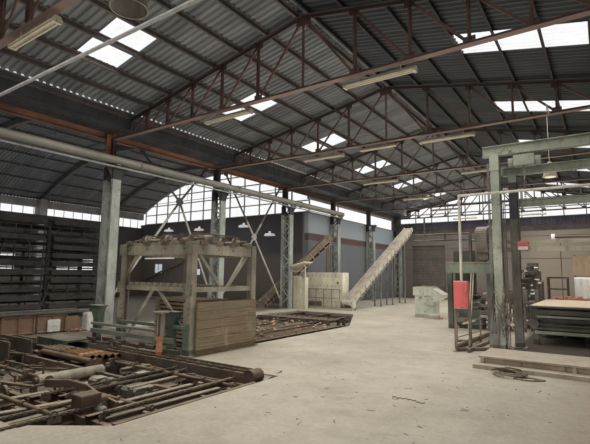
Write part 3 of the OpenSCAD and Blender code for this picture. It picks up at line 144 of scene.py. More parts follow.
# Node helpers for procedural finishes.
class Finish:
    """A material with a Principled shader and short calls for the nodes before it."""

    def __init__(self, name, rough=0.7, metallic=0.0):
        self.mat = bpy.data.materials.new(name)
        self.mat.use_nodes = True
        self.tree = self.mat.node_tree
        self.tree.nodes.clear()
        out = self.node("OutputMaterial")
        self.bsdf = self.node("BsdfPrincipled", Roughness=rough, Metallic=metallic)
        self.link(self.bsdf.outputs[0], out.inputs["Surface"])
        self.place = self.node("TexCoord").outputs["Object"]

    def node(self, kind, **numbers):
        """A node with numbers in its named sockets, where _ stands for a space."""
        node = self.tree.nodes.new("ShaderNode" + kind)
        for key, number in numbers.items():
            node.inputs[key.replace("_", " ")].default_value = number
        return node

    def link(self, a, b):
        self.tree.links.new(a, b)

    def noise(self, scale, detail=4.0, rough=0.55, stretch=(1, 1, 1), warp=0.0):
        scaled = self.node("Mapping", Scale=stretch)
        node = self.node("TexNoise", Scale=scale, Detail=detail, Roughness=rough, Distortion=warp)
        self.link(self.place, scaled.inputs["Vector"])
        self.link(scaled.outputs["Vector"], node.inputs["Vector"])
        return node.outputs["Fac"]

    def ramp(self, value, low, high, a=0.0, b=1.0):
        node = self.node("MapRange", From_Min=low, From_Max=high, To_Min=a, To_Max=b)
        self.link(value, node.inputs["Value"])
        return node.outputs["Result"]

    def fill(self, socket, value):
        """Puts a number, a colour or another node's output in a socket."""
        if isinstance(value, (int, float)):
            socket.default_value = value
        elif isinstance(value, tuple):
            socket.default_value = (*value, 1)
        else:
            self.link(value, socket)

    def maths(self, kind, a, b):
        node = self.node("Math")
        node.operation = kind
        self.fill(node.inputs[0], a)
        self.fill(node.inputs[1], b)
        return node.outputs[0]

    def times(self, a, b):
        return self.maths("MULTIPLY", a, b)

    def plus(self, a, b):
        return self.maths("ADD", a, b)

    def mix(self, factor, a, b):
        node = self.node("Mix")
        node.data_type = "RGBA"
        for key, value in (("Factor", factor), ("A", a), ("B", b)):
            self.fill(node.inputs[key], value)
        return node.outputs["Result"]

    def over(self, tone, mask, strength, cover):
        """The tone with another one over it, as far as the mask and the strength let it."""
        return self.mix(self.times(mask, strength), tone, cover)

    def stain(self, tone, noise, edges, strength, cover, **how):
        """The tone with another one in patches of a noise."""
        return self.over(tone, self.ramp(self.noise(*noise, **how), *edges), strength, cover)

    def grain(self):
        return self.ramp(self.noise(1.3, 5, 0.6), 0.35, 0.68)

    def axis(self, name, source=None):
        node = self.node("SeparateXYZ")
        self.link(source or self.place, node.inputs[0])
        return node.outputs[name]

    def zone(self, low, high, soft=0.02):
        """1 inside a box given by two corners, where None leaves a side open."""
        inside = None
        for axis, a, b in zip("XYZ", low, high):
            for edge, start, end in ((a, 0.0, 1.0), (b, 1.0, 0.0)):
                if edge is None:
                    continue
                part = self.ramp(self.axis(axis), edge - soft / 2, edge + soft / 2, start, end)
                inside = part if inside is None else self.times(inside, part)
        return inside

    def upward(self):
        return self.axis("Z", self.node("NewGeometry").outputs["Normal"])

    def lying(self):
        """1 on what faces up, where dust lies."""
        return self.ramp(self.upward(), 0.35, 0.95)

    def bump(self, height, depth=0.01, strength=0.5):
        node = self.node("Bump", Strength=strength, Distance=depth)
        self.link(height, node.inputs["Height"])
        self.link(node.outputs[0], self.bsdf.inputs["Normal"])

    def colour(self, value):
        self.link(value, self.bsdf.inputs["Base Color"])

    def roughness(self, value):
        self.link(value, self.bsdf.inputs["Roughness"])


DUST = (0.46, 0.40, 0.32)
RUST = (0.17, 0.075, 0.04)


def weather(f, tone, dirt, rust, dust, rough, fine=0.55):
    """Streaks of dirt (strength, colour), patches of rust (edge, strength, colour) and lying dust."""
    grime = f.ramp(f.noise(5.5, 8, 0.7, stretch=(1, 1, 0.22)), 0.48, 0.75)
    tone = f.over(tone, grime, *dirt)
    edge, strength, colour = rust
    patch = f.ramp(f.noise(7.0, 10, 0.72, warp=0.6), edge, 0.66)
    tone = f.over(tone, patch, strength, colour)
    cover = f.ramp(f.noise(3.0, 6, fine), 0.25, 0.6, 0.25, 1.0)
    f.colour(f.over(tone, f.times(f.lying(), cover), dust, DUST))
    f.roughness(f.ramp(grime, 0, 1, rough, min(1.0, rough + 0.3)))
    f.bump(f.plus(f.noise(60, 4), f.times(patch, 0.8)), 0.002, 0.4)
    return f.mat


def painted_steel(name, light, dark, dust, rust, rough=0.55, rust_colour=RUST):
    """Old paint: two tones, rust patches, streaks down the faces and dust on what faces up."""
    f = Finish(name, rough)
    tone = f.mix(f.grain(), dark, light)
    dirt = 0.55, tuple(c * 0.35 for c in dark)
    patches = 0.60 - 0.12 * rust, min(1.0, 0.4 + rust), rust_colour
    return weather(f, tone, dirt, patches, dust, rough, 0.6)


def sheet_roof():
    """Dark fibre-cement, stained in strips, darker right of the ridge as painted shade, with painted window
    light in the vaulted nave, pale with lichen outside.
    """
    f = Finish("roof_sheet", 0.85)
    strips = f.noise(1.0, 5, 0.6, stretch=(0.35, 2.4, 1.0))
    tone = f.mix(f.ramp(strips, 0.36, 0.68), (0.122, 0.125, 0.126), (0.235, 0.234, 0.228))
    tone = f.stain(tone, (4.0, 9, 0.7), (0.55, 0.75), 0.5, (0.22, 0.205, 0.185), stretch=(0.4, 1.6, 1))
    # Painted shade: the sheets right of the ridge are darker.
    shade = f.ramp(f.axis("X"), RIDGE_X - 0.05, RIDGE_X + 0.05, 0.0, 0.76)
    tone = f.mix(shade, tone, (0.026, 0.029, 0.031))
    # In the vaulted nave the sheets are darker, with painted window light on them towards the vault's end
    # wall.
    vault = f.ramp(f.axis("X"), -0.6, -0.5, 0.42, 0.0)
    lit = f.ramp(f.axis("Y"), VAULT_END - 6.5, VAULT_END)
    tone = f.mix(vault, tone, f.mix(lit, (0.058, 0.062, 0.064), (0.30, 0.25, 0.20)))
    outside = f.ramp(f.upward(), 0.2, 0.6)
    lichen = f.mix(f.ramp(f.noise(9.0, 8, 0.7), 0.5, 0.66), (0.20, 0.195, 0.18), (0.11, 0.115, 0.085))
    f.colour(f.mix(outside, tone, lichen))
    f.bump(f.noise(40, 5), 0.004, 0.5)
    return f.mat


def skylight():
    f = Finish("skylight_sheet", 0.35)
    dirt = f.ramp(f.noise(3.2, 8, 0.65, stretch=(0.6, 1.8, 1)), 0.42, 0.78)
    f.colour(f.over((0.93, 0.96, 1.0), dirt, 0.5, (0.5, 0.5, 0.46)))
    f.link(f.ramp(dirt, 0, 1, 0.0, 0.07), f.bsdf.inputs["Alpha"])
    f.bump(f.noise(30, 3), 0.002, 0.3)
    return f.mat


def window_glass():
    f = Finish("window_glass", 0.25)
    dirt = f.ramp(f.noise(2.0, 8, 0.7, stretch=(1, 1, 0.5)), 0.4, 0.8)
    f.colour(f.mix(dirt, (0.80, 0.88, 0.93), (0.50, 0.50, 0.44)))
    f.link(f.ramp(dirt, 0, 1, 0.0, 0.06), f.bsdf.inputs["Alpha"])
    f.bump(f.noise(12, 3), 0.001, 0.2)
    return f.mat


def floor_cracks(f):
    """1 along fine broken cracks that wander over the floor."""
    cell = f.node("TexVoronoi", Scale=0.45)
    cell.feature = "DISTANCE_TO_EDGE"
    wander = f.node("VectorMath")
    bend = f.node("TexNoise", Scale=1.6, Detail=6)
    f.link(f.place, bend.inputs["Vector"])
    f.link(bend.outputs["Color"], wander.inputs[0])
    f.link(f.place, wander.inputs[1])
    f.link(wander.outputs[0], cell.inputs["Vector"])
    crack = f.ramp(cell.outputs["Distance"], 0.0, 0.005, 1.0, 0.0)
    return f.times(crack, f.ramp(f.noise(1.1, 3), 0.56, 0.66))


def concrete_floor():
    """Trodden screed: dust, oil stains and fine cracks, darker in the pits and round the plant, with
    painted shade and dirt under the press table.
    """
    f = Finish("concrete", 0.86)
    tone = f.mix(f.ramp(f.noise(0.55, 8, 0.62), 0.33, 0.68), (0.275, 0.24, 0.185), (0.405, 0.365, 0.29))
    fine = f.noise(18, 8, 0.75)
    tone = f.mix(f.ramp(fine, 0.38, 0.7, 0.0, 0.5), tone, (0.47, 0.435, 0.36))
    tone = f.stain(tone, (2.6, 9, 0.74), (0.46, 0.7), 0.45, (0.215, 0.185, 0.14))
    edge = f.ramp(f.plus(f.axis("X"), f.noise(1.1, 6)), 12.3, 13.2, 0.0, 0.7)
    tone = f.mix(edge, tone, (0.205, 0.150, 0.105))
    tone = f.stain(tone, (0.9, 9, 0.7), (0.60, 0.74), 0.5, (0.13, 0.105, 0.085), warp=0.8)
    crack = floor_cracks(f)
    tone = f.over(tone, crack, 0.45, (0.16, 0.135, 0.11))
    sunk = f.ramp(f.axis("Z"), FLOOR - 0.06, FLOOR - 0.01, 1.0, 0.0)
    tone = f.over(tone, sunk, 0.72, (0.115, 0.085, 0.062))
    aside = f.ramp(f.plus(f.axis("X"), f.times(f.noise(0.7, 4), 0.8)), 0.2, 0.8, 1.0, 0.0)
    aside = f.times(aside, f.ramp(f.axis("Y"), VAULT_END - 0.6, VAULT_END, 1.0, 0.0))
    tone = f.over(tone, aside, 0.8, (0.085, 0.072, 0.058))
    worked = f.plus(f.zone((None, None, None), (1.05, -7.2, None), 0.1),
                    f.zone((1.0, -9.35, None), (5.95, -6.95, None), 0.3))
    worked = f.times(f.maths("MINIMUM", worked, 1.0), f.ramp(f.noise(2.2, 6), 0.3, 0.55, 0.45, 0.95))
    tone = f.mix(worked, tone, (0.115, 0.09, 0.066))
    # Painted shade, with dirt, on the floor under and before the press table.
    press = f.times(f.zone((10.75, -4.15, None), (13.8, 2.6, None), 0.2), 0.9)
    tone = f.mix(press, tone, (0.040, 0.031, 0.023))
    f.colour(tone)
    f.bump(f.maths("SUBTRACT", f.noise(25, 9, 0.7), f.times(crack, 2.0)), 0.006, 0.55)
    return f.mat


def outer_faces(f):
    """1 on the outer faces of the walls, 0 inside."""
    low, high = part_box("near_wall")
    far, side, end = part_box("far_wall")[1].y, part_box("side_wall")[0].x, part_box("vault_wall")[1].y
    x, y = f.axis("X"), f.axis("Y")
    ends = f.maths("MAXIMUM", f.ramp(y, low.y + 0.02, low.y + 0.03, 1.0, 0.0),
                   f.ramp(y, far - 0.03, far - 0.02))
    sides = f.maths("MAXIMUM", f.ramp(x, low.x + 0.02, low.x + 0.03, 1.0, 0.0),
                    f.ramp(x, high.x - 0.03, high.x - 0.02))
    corner = f.maths("MINIMUM", f.ramp(x, side + 0.02, side + 0.03, 1.0, 0.0),
                     f.ramp(y, end - 0.03, end - 0.02))
    return f.maths("MAXIMUM", corner, f.maths("MAXIMUM", ends, sides))


def painted_bands(f, tone):
    """Blue-grey, dark red and pale blue bands of old paint on the wall beside the columns."""
    aside = f.ramp(f.axis("X"), 0.35, 0.4, 1.0, 0.0)
    for low, high, tint in ((-1.0, 3.45, (0.118, 0.128, 0.148)), (3.45, 3.85, (0.075, 0.040, 0.038)),
                            (3.85, 4.95, (0.29, 0.33, 0.355))):
        inside = f.times(f.ramp(f.axis("Z"), FLOOR + low, FLOOR + low + 0.03),
                         f.ramp(f.axis("Z"), FLOOR + high - 0.03, FLOOR + high, 1.0, 0.0))
        inside = f.times(inside, f.times(aside, f.ramp(f.axis("X"), -0.6, -0.5)))
        tone = f.over(tone, inside, 0.8, tint)
    return tone


def thin_render(f, bricks, foot):
    """Pale render on the outer faces, with bare patches of brick and a dirty foot."""
    bare = f.mix(0.55, bricks, (0.30, 0.165, 0.115))
    render = f.mix(f.ramp(f.noise(1.7, 8, 0.7, stretch=(1, 1, 0.3)), 0.4, 0.7),
                   (0.42, 0.385, 0.32), (0.27, 0.24, 0.195))
    outside = f.mix(f.ramp(f.noise(0.55, 8, 0.68), 0.35, 0.42), bare, render)
    return f.mix(foot, outside, (0.15, 0.125, 0.10))


def brick_wall():
    """Walls of hollow brick, thinly washed: courses show, darker near the floor, with painted light on the
    far end wall.
    """
    f = Finish("brick", 0.92)
    turn = f.node("CombineXYZ")
    f.link(f.plus(f.axis("X"), f.axis("Y")), turn.inputs["X"])
    f.link(f.axis("Z"), turn.inputs["Y"])
    brick = f.node("TexBrick", Scale=1.0, Mortar_Size=0.008, Brick_Width=0.25, Row_Height=0.075,
                   Color1=(0.24, 0.20, 0.165, 1), Color2=(0.17, 0.14, 0.12, 1),
                   Mortar=(0.14, 0.13, 0.118, 1))
    f.link(turn.outputs[0], brick.inputs["Vector"])
    tone = f.mix(0.4, brick.outputs["Color"], (0.20, 0.183, 0.165))
    tone = f.mix(f.ramp(f.noise(0.8, 7, 0.65), 0.35, 0.7, 0.0, 0.6), tone, (0.115, 0.103, 0.092))
    foot = f.ramp(f.axis("Z"), FLOOR, FLOOR + 1.3, 0.55, 0.0)
    tone = f.mix(foot, tone, (0.13, 0.105, 0.085))
    high = f.ramp(f.axis("Z"), FLOOR + 2.5, FLOOR + 2.9)
    vault = f.mix(high, (0.090, 0.068, 0.052), (0.026, 0.026, 0.030))
    tone = f.mix(f.ramp(f.axis("X"), -0.7, -0.62, 0.75, 0.0), tone, vault)
    tone = f.mix(f.ramp(f.axis("Y"), FAR_Y - 0.3, FAR_Y - 0.2, 0.0, 0.42), tone, (0.095, 0.078, 0.064))
    # Painted light on the far end wall, growing towards its right part.
    lit = f.times(f.ramp(f.axis("Y"), FAR_Y - 0.3, FAR_Y - 0.2), f.ramp(f.axis("X"), 7.5, 9.5, 0.0, 0.55))
    tone = f.mix(lit, tone, (0.30, 0.255, 0.19))
    tone = painted_bands(f, tone)
    outside = thin_render(f, brick.outputs["Color"], foot)
    f.colour(f.mix(outer_faces(f), tone, outside))
    f.bump(f.plus(brick.outputs["Fac"], f.times(f.noise(30, 6), -0.6)), 0.006, 0.5)
    return f.mat


def cast_concrete():
    f = Finish("pier_concrete", 0.9)
    tone = f.mix(f.ramp(f.noise(1.1, 7, 0.6), 0.35, 0.7), (0.19, 0.18, 0.165), (0.36, 0.34, 0.31))
    tone = f.stain(tone, (2.5, 8, 0.7), (0.52, 0.72), 0.5, (0.10, 0.09, 0.08), stretch=(2, 2, 0.15))
    f.colour(tone)
    f.bump(f.noise(20, 8), 0.005, 0.5)
    return f.mat


def board_wood():
    f = Finish("board_wood", 0.8)
    grain = f.noise(6.0, 9, 0.65, stretch=(1.2, 0.35, 9))
    tone = f.mix(f.ramp(grain, 0.35, 0.7), (0.062, 0.041, 0.025), (0.17, 0.116, 0.065))
    tone = f.stain(tone, (1.7, 6, 0.65), (0.42, 0.66), 0.65, (0.102, 0.096, 0.055))
    tone = f.stain(tone, (3.4, 7, 0.7), (0.56, 0.7), 0.6, (0.24, 0.195, 0.13), stretch=(1, 1, 0.4))
    f.colour(tone)
    f.bump(grain, 0.004, 0.5)
    return f.mat


def oily_iron():
    f = Finish("rail_steel", 0.6, 0.25)
    tone = f.mix(f.ramp(f.noise(2.4, 8, 0.7), 0.35, 0.68), (0.05, 0.038, 0.030), (0.17, 0.115, 0.08))
    tone = f.stain(tone, (0.8, 3), (0.52, 0.6), 0.4, (0.10, 0.12, 0.09))
    lying = f.ramp(f.upward(), 0.4, 0.95)
    cover = f.ramp(f.noise(4.0, 6), 0.3, 0.6, 0.3, 1.0)
    tone = f.over(tone, f.times(lying, cover), 0.62, (0.37, 0.29, 0.205))
    f.colour(tone)
    f.bump(f.noise(35, 7), 0.003, 0.5)
    return f.mat


def copper():
    f = Finish("roller_copper", 0.3, 0.55)
    wear = f.ramp(f.noise(0.9, 3, 0.5), 0.38, 0.62)
    tone = f.mix(wear, (0.26, 0.13, 0.06), (0.52, 0.27, 0.12))
    tone = f.mix(f.ramp(f.noise(9.0, 6, 0.6), 0.5, 0.75, 0.0, 0.4), tone, (0.13, 0.075, 0.045))
    # A painted highlight: a bright band across the rollers.
    painted_highlight = f.times(f.zone((4.22, None, None), (4.34, None, None), 0.07), 0.75)
    f.colour(f.mix(painted_highlight, tone, (0.90, 0.66, 0.46)))
    f.roughness(f.ramp(wear, 0, 1, 0.6, 0.25))
    f.bump(f.noise(50, 5), 0.001, 0.3)
    return f.mat


def light_board():
    f = Finish("board_light", 0.75)
    grain = f.noise(7.0, 8, 0.6, stretch=(0.3, 4, 1))
    f.colour(f.mix(f.ramp(grain, 0.3, 0.7), (0.50, 0.40, 0.29), (0.70, 0.575, 0.43)))
    f.bump(grain, 0.002, 0.4)
    return f.mat


def truss_steel():
    """Red-brown primer, greyer further along the hall as painted haze; the top chords under the sheets are
    painted dark as shade.
    """
    f = Finish("truss_steel", 0.6)
    tone = f.mix(f.grain(), (0.115, 0.068, 0.056), (0.215, 0.128, 0.102))
    grime = f.ramp(f.noise(5.5, 8, 0.7, stretch=(1, 1, 0.3)), 0.46, 0.74)
    tone = f.over(tone, grime, 0.6, (0.05, 0.033, 0.03))
    patch = f.ramp(f.noise(7.0, 10, 0.72, warp=0.6), 0.56, 0.66)
    tone = f.over(tone, patch, 0.7, (0.25, 0.135, 0.09))
    lying = f.lying()
    tone = f.over(tone, lying, 0.7, (0.36, 0.30, 0.24))
    across = f.axis("X")
    run = f.maths("MINIMUM", across, f.maths("SUBTRACT", SPAN, across))
    line = f.plus(f.times(run, SLOPE), CHORD_Z + HEEL)
    under = f.maths("SUBTRACT", line, f.axis("Z"))
    # Painted haze: the trusses turn greyer further along the hall.
    far = f.ramp(f.axis("Y"), -4.0, 6.0, 0.0, 0.75)
    tone = f.mix(far, tone, f.mix(grime, (0.20, 0.175, 0.16), (0.10, 0.088, 0.082)))
    chord = f.ramp(f.axis("Z"), CHORD_Z + 0.1, CHORD_Z + 0.13, 0.45, 0.0)
    tone = f.mix(chord, tone, (0.27, 0.20, 0.165))
    # Painted shade: the top chords under the sheets are darker.
    painted_chord_shade = f.ramp(under, 0.09, 0.32, 0.85, 0.0)
    f.colour(f.mix(painted_chord_shade, tone, (0.04, 0.032, 0.03)))
    f.bump(f.plus(f.noise(60, 4), f.times(patch, 0.8)), 0.002, 0.4)
    return f.mat


def duct_metal():
    """Grey-beige paint, with painted shade darkening the faces that look down."""
    f = Finish("duct_metal", 0.6)
    tone = f.mix(f.grain(), (0.34, 0.32, 0.265), (0.48, 0.45, 0.375))
    # Painted shade: faces that look down are darker.
    tone = f.mix(f.ramp(f.upward(), -0.55, 0.25, 0.78, 0.0), tone, (0.115, 0.108, 0.09))
    tone = f.stain(tone, (3.5, 8, 0.7), (0.48, 0.75), 0.45, (0.14, 0.125, 0.10), stretch=(1, 0.5, 1))
    f.colour(tone)
    f.bump(f.noise(50, 5), 0.002, 0.35)
    return f.mat


def conveyor_paint():
    """Cream paint with clay dust; the legs under the sloping trough are darker."""
    f = Finish("conveyor_steel", 0.6)
    grain = f.grain()
    tone = f.mix(grain, (0.28, 0.255, 0.20), (0.44, 0.40, 0.315))
    run = f.maths("SUBTRACT", f.axis("Y"), VAULT_END - 1.05)
    line = f.plus(f.times(run, 0.516), FLOOR + 0.33)
    under = f.ramp(f.maths("SUBTRACT", line, f.axis("Z")), 0.2, 0.26)
    tone = f.mix(under, tone, f.mix(grain, (0.085, 0.076, 0.06), (0.17, 0.15, 0.12)))
    tone = f.stain(tone, (6.0, 9, 0.72), (0.5, 0.72), 0.55, (0.11, 0.095, 0.072), stretch=(1, 1, 0.4))
    lying = f.times(f.lying(), 0.5)
    f.colour(f.mix(lying, tone, DUST))
    f.bump(f.noise(60, 5), 0.002, 0.4)
    return f.mat


def beam_steel():
    """Orange rust in long patches that give way to dark brown far along the hall."""
    f = Finish("beam_steel", 0.7)
    tone = f.mix(f.ramp(f.noise(0.9, 6, 0.6, stretch=(1, 0.5, 1)), 0.4, 0.62),
                 (0.125, 0.078, 0.062), (0.37, 0.185, 0.12))
    tone = f.stain(tone, (9.0, 9, 0.7), (0.5, 0.7), 0.6, (0.30, 0.135, 0.085))
    far = f.ramp(f.plus(f.axis("Y"), f.times(f.noise(0.8, 4), 3.0)), -2.0, 5.0, 0.0, 0.85)
    tone = f.mix(far, tone, (0.085, 0.058, 0.050))
    f.colour(tone)
    f.bump(f.noise(45, 7), 0.003, 0.5)
    return f.mat


def zoned(name, base, zones, dust=0.6, rough=0.6):
    """Old paint, as (light, dark), with other paint in boxes given by two corners."""
    f = Finish(name, rough)
    grain = f.grain()
    tone = f.mix(grain, base[1], base[0])
    for low, high, light, dark in zones:
        tone = f.mix(f.zone(low, high), tone, f.mix(grain, dark, light))
    return weather(f, tone, (0.5, (0.05, 0.045, 0.038)), (0.565, 0.6, RUST), dust, rough)


def speckled(name, rough, grain, dark, light, bump=None):
    """Two tones in fine spots, with a bump given as noise scale, detail, depth and strength."""
    f = Finish(name, rough)
    f.colour(f.mix(f.ramp(f.noise(*grain), 0.3, 0.7), dark, light))
    if bump:
        f.bump(f.noise(*bump[:2]), *bump[2:])
    return f.mat


def fired_brick():
    return speckled("fired_brick", 0.9, (5, 5), (0.40, 0.17, 0.11), (0.55, 0.30, 0.21), (50, 6, 0.004, 0.5))


def glow(name, colour, strength):
    f = Finish(name, 0.35)
    tone = f.mix(f.ramp(f.noise(3.0, 4), 0.3, 0.7), tuple(c * 0.82 for c in colour), colour)
    f.colour(tone)
    f.link(tone, f.bsdf.inputs["Emission Color"])
    f.bsdf.inputs["Emission Strength"].default_value = strength
    return f.mat


# Plain paints: light tone, dark tone, dust, rust and, where it isn't the usual one, roughness.
PAINTS = {
    "gutter_metal": ((0.075, 0.078, 0.08), (0.035, 0.036, 0.037), 0.25, 0.2),
    "frame_steel": ((0.10, 0.105, 0.11), (0.05, 0.05, 0.055), 0.3, 0.4),
    "shutter_steel": ((0.13, 0.112, 0.095), (0.085, 0.074, 0.064), 0.5, 0.2),
    "lamp_metal": ((0.60, 0.545, 0.41), (0.43, 0.385, 0.28), 0.3, 0.0, 0.4),
    "left_conveyor_steel": ((0.23, 0.17, 0.12), (0.12, 0.09, 0.065), 0.6, 0.4),
    "cabinet_metal": ((0.70, 0.65, 0.50), (0.52, 0.48, 0.37), 0.4, 0.12, 0.45),
    "rack_steel": ((0.05, 0.047, 0.044), (0.022, 0.021, 0.02), 0.5, 0.5, 0.55, (0.10, 0.055, 0.035)),
    "bench_steel": ((0.385, 0.385, 0.315), (0.26, 0.265, 0.215), 0.7, 0.15),
    "pale_frame": ((0.56, 0.56, 0.54), (0.40, 0.40, 0.385), 0.2, 0.1),
    "pipe_zinc": ((0.36, 0.355, 0.34), (0.24, 0.235, 0.22), 0.2, 0.1),
    # A darker copy of the lamp metal, as painted shade on the deep bell.
    "shaded_bell_metal": ((0.30, 0.275, 0.23), (0.20, 0.185, 0.155), 0.3, 0.0, 0.4),
    "band_steel": ((0.095, 0.094, 0.118), (0.05, 0.05, 0.066), 0.2, 0.05),
    "strip_steel": ((0.10, 0.082, 0.075), (0.055, 0.046, 0.043), 0.3, 0.1),
    "course_steel": ((0.12, 0.055, 0.055), (0.07, 0.034, 0.036), 0.2, 0.1),
    "roller_steel": ((0.40, 0.35, 0.275), (0.23, 0.20, 0.155), 0.3, 0.25, 0.28),
    "orange_paint": ((0.30, 0.125, 0.045), (0.15, 0.07, 0.035), 0.1, 0.5),
    "guide_brown": ((0.17, 0.145, 0.11), (0.085, 0.072, 0.056), 0.5, 0.4),
    "beam_khaki": ((0.30, 0.26, 0.19), (0.17, 0.145, 0.108), 0.5, 0.35),
    "cover_plate": ((0.26, 0.22, 0.165), (0.15, 0.12, 0.09), 0.8, 0.5),
    "gearbox_green": ((0.16, 0.16, 0.12), (0.075, 0.08, 0.062), 0.6, 0.4),
    "belt_rubber": ((0.22, 0.195, 0.155), (0.11, 0.095, 0.075), 0.7, 0.1),
    "board_grey": ((0.13, 0.12, 0.10), (0.07, 0.064, 0.055), 0.25, 0.3),
    "panel_brown": ((0.225, 0.145, 0.10), (0.15, 0.098, 0.070), 0.5, 0.4),
    "box_white": ((0.66, 0.64, 0.58), (0.46, 0.45, 0.41), 0.3, 0.1),
    "low_green": ((0.085, 0.105, 0.075), (0.045, 0.055, 0.042), 0.4, 0.2),
    "box_pale": ((0.66, 0.60, 0.54), (0.5, 0.44, 0.39), 0.2, 0.05),
    "hose_rubber": ((0.20, 0.165, 0.12), (0.07, 0.06, 0.05), 0.3, 0.1),
    "guard_brown": ((0.22, 0.165, 0.12), (0.12, 0.09, 0.066), 0.5, 0.4),
    "gantry_iron": ((0.22, 0.21, 0.18), (0.11, 0.105, 0.09), 0.4, 0.5),
    "box_red": ((0.60, 0.125, 0.115), (0.46, 0.085, 0.08), 0.3, 0.08),
    "platform_wood": ((0.36, 0.29, 0.21), (0.23, 0.185, 0.13), 0.2, 0.1, 0.85),
    "plate_dark": ((0.035, 0.032, 0.027), (0.018, 0.017, 0.015), 0.2, 0.2),
    "rail_green": ((0.21, 0.225, 0.175), (0.12, 0.13, 0.10), 0.4, 0.2),
    "screen_wood": ((0.46, 0.34, 0.22), (0.32, 0.23, 0.145), 0.1, 0.1, 0.8),
    "press_iron": ((0.13, 0.11, 0.085), (0.04, 0.037, 0.03), 0.55, 0.4),
    "press_cabinet": ((0.92, 0.94, 0.90), (0.80, 0.82, 0.78), 0.25, 0.05),
    "belt_pale": ((0.46, 0.40, 0.30), (0.29, 0.25, 0.19), 0.3, 0.2),
    "press_gear": ((0.19, 0.17, 0.13), (0.065, 0.06, 0.05), 0.6, 0.4),
    "strut_orange": ((0.50, 0.20, 0.11), (0.24, 0.10, 0.06), 0.1, 0.3),
    "hose_red": ((0.55, 0.16, 0.10), (0.35, 0.10, 0.07), 0.2, 0.1),
    "vent_dark": ((0.12, 0.11, 0.085), (0.06, 0.055, 0.045), 0.3, 0.2),
    "rail_grey": ((0.30, 0.28, 0.22), (0.18, 0.17, 0.135), 0.3, 0.2),
    "bench_brown": ((0.26, 0.205, 0.145), (0.13, 0.105, 0.078), 0.6, 0.3),
    "wall_pipe": ((0.16, 0.13, 0.105), (0.085, 0.07, 0.058), 0.4, 0.3),
}

# Paints with other colours in places: light and dark tone, then boxes with their own two, and dust.
OPEN = (None, None, None)


def above(up):
    return (None, None, FLOOR + up)


ZONED = {
    "column_steel": (
        ((0.355, 0.372, 0.33), (0.20, 0.218, 0.19)),
        [(above(4.5), OPEN, (0.055, 0.055, 0.058), (0.025, 0.027, 0.03))]),
    "machine_steel": (
        ((0.255, 0.23, 0.165), (0.115, 0.104, 0.078)),
        [((low, None, None), (high, -8.83, FLOOR + 0.9), (0.062, 0.085, 0.055), (0.033, 0.043, 0.030))
         for low, high in ((2.3, 3.0), (5.0, 5.55))]),
    "gantry_steel": (
        ((0.325, 0.34, 0.27), (0.19, 0.204, 0.16)),
        [((None, -3.62, None), (11.02, None, FLOOR + 3.9), (0.185, 0.168, 0.13), (0.08, 0.073, 0.06)),
         ((None, -3.62, FLOOR + 3.0), (11.02, None, FLOOR + 3.9), (0.05, 0.048, 0.065),
          (0.03, 0.03, 0.042)),
         ((11.02, -3.62, FLOOR + 2.15), above(2.55), (0.42, 0.375, 0.28), (0.27, 0.24, 0.175))], 0.5),
    "press_steel": (
        ((0.085, 0.088, 0.07), (0.030, 0.032, 0.027)),
        [(OPEN, (None, -4.5, FLOOR + 0.16), (0.44, 0.38, 0.295), (0.30, 0.255, 0.19)),
         ((None, -1.0, FLOOR + 1.72), (10.1, 0.9, FLOOR + 2.1), (0.17, 0.20, 0.145), (0.09, 0.11, 0.08)),
         ((9.2, -1.0, FLOOR + 2.1), (10.1, 0.9, None), (0.23, 0.20, 0.16), (0.11, 0.095, 0.075)),
         ((9.9, -0.5, None), (10.99, 2.2, None), (0.17, 0.145, 0.11), (0.07, 0.06, 0.048))], 0.75),
    "post_steel": (
        ((0.52, 0.49, 0.41), (0.36, 0.34, 0.28)),
        [(OPEN, above(0.9), (0.15, 0.125, 0.09), (0.07, 0.06, 0.045))], 0.4),
    # Purlins: painted shade darkens them right of the ridge, and painted light makes them paler in the
    # vaulted nave.
    "purlin_steel": (
        ((0.125, 0.105, 0.097), (0.075, 0.067, 0.063)),
        [((RIDGE_X, None, None), OPEN, (0.042, 0.034, 0.034), (0.024, 0.021, 0.021)),
         (OPEN, (-0.5, None, None), (0.115, 0.112, 0.108), (0.08, 0.079, 0.077))], 0.3),
    "column_brace": (
        ((0.40, 0.375, 0.325), (0.25, 0.23, 0.20)),
        [(above(3.9), OPEN, (0.10, 0.10, 0.098), (0.055, 0.055, 0.055))]),
    "setter_shoes": (
        ((0.20, 0.185, 0.125), (0.10, 0.095, 0.068)),
        [(OPEN, (None, -8.98, FLOOR + 0.62), (0.095, 0.115, 0.08), (0.05, 0.06, 0.045))]),
}

# Finishes with a recipe of their own.
MAKERS = {
    "truss_steel": truss_steel,
    "roof_sheet": sheet_roof,
    "skylight_sheet": skylight,
    "beam_steel": beam_steel,
    "concrete": concrete_floor,
    "pier_concrete": cast_concrete,
    "brick": brick_wall,
    "window_glass": window_glass,
    "duct_metal": duct_metal,
    "board_wood": board_wood,
    "rail_steel": oily_iron,
    "conveyor_steel": conveyor_paint,
}

# CAD nodes that wear another finish than their slot's.
OTHER_LOOK = {
    "purlins": "purlin_steel",
    "vault_purlins": "purlin_steel",
    "vault_ribs": "purlin_steel",
    "column_braces": "column_brace",
    "roof_pipes": "pipe_zinc",
    "far_frame": "pale_frame",
    "vault_frame": "pale_frame",
}
finishes = {}


def paint(name):
    """The finish of that name, made when it is first asked for."""
    if name not in finishes:
        if name in PAINTS:
            finishes[name] = painted_steel(name, *PAINTS[name])
        elif name in ZONED:
            finishes[name] = zoned(name, *ZONED[name])
        else:
            finishes[name] = MAKERS[name]()
    return finishes[name]


def dress_cad():
    for part in frame["record"]["subparts"]:
        mesh = nodes[part["node"]].data
        mesh.materials.clear()
        mesh.materials.append(paint(OTHER_LOOK.get(part["node"], part["material_slot"])))


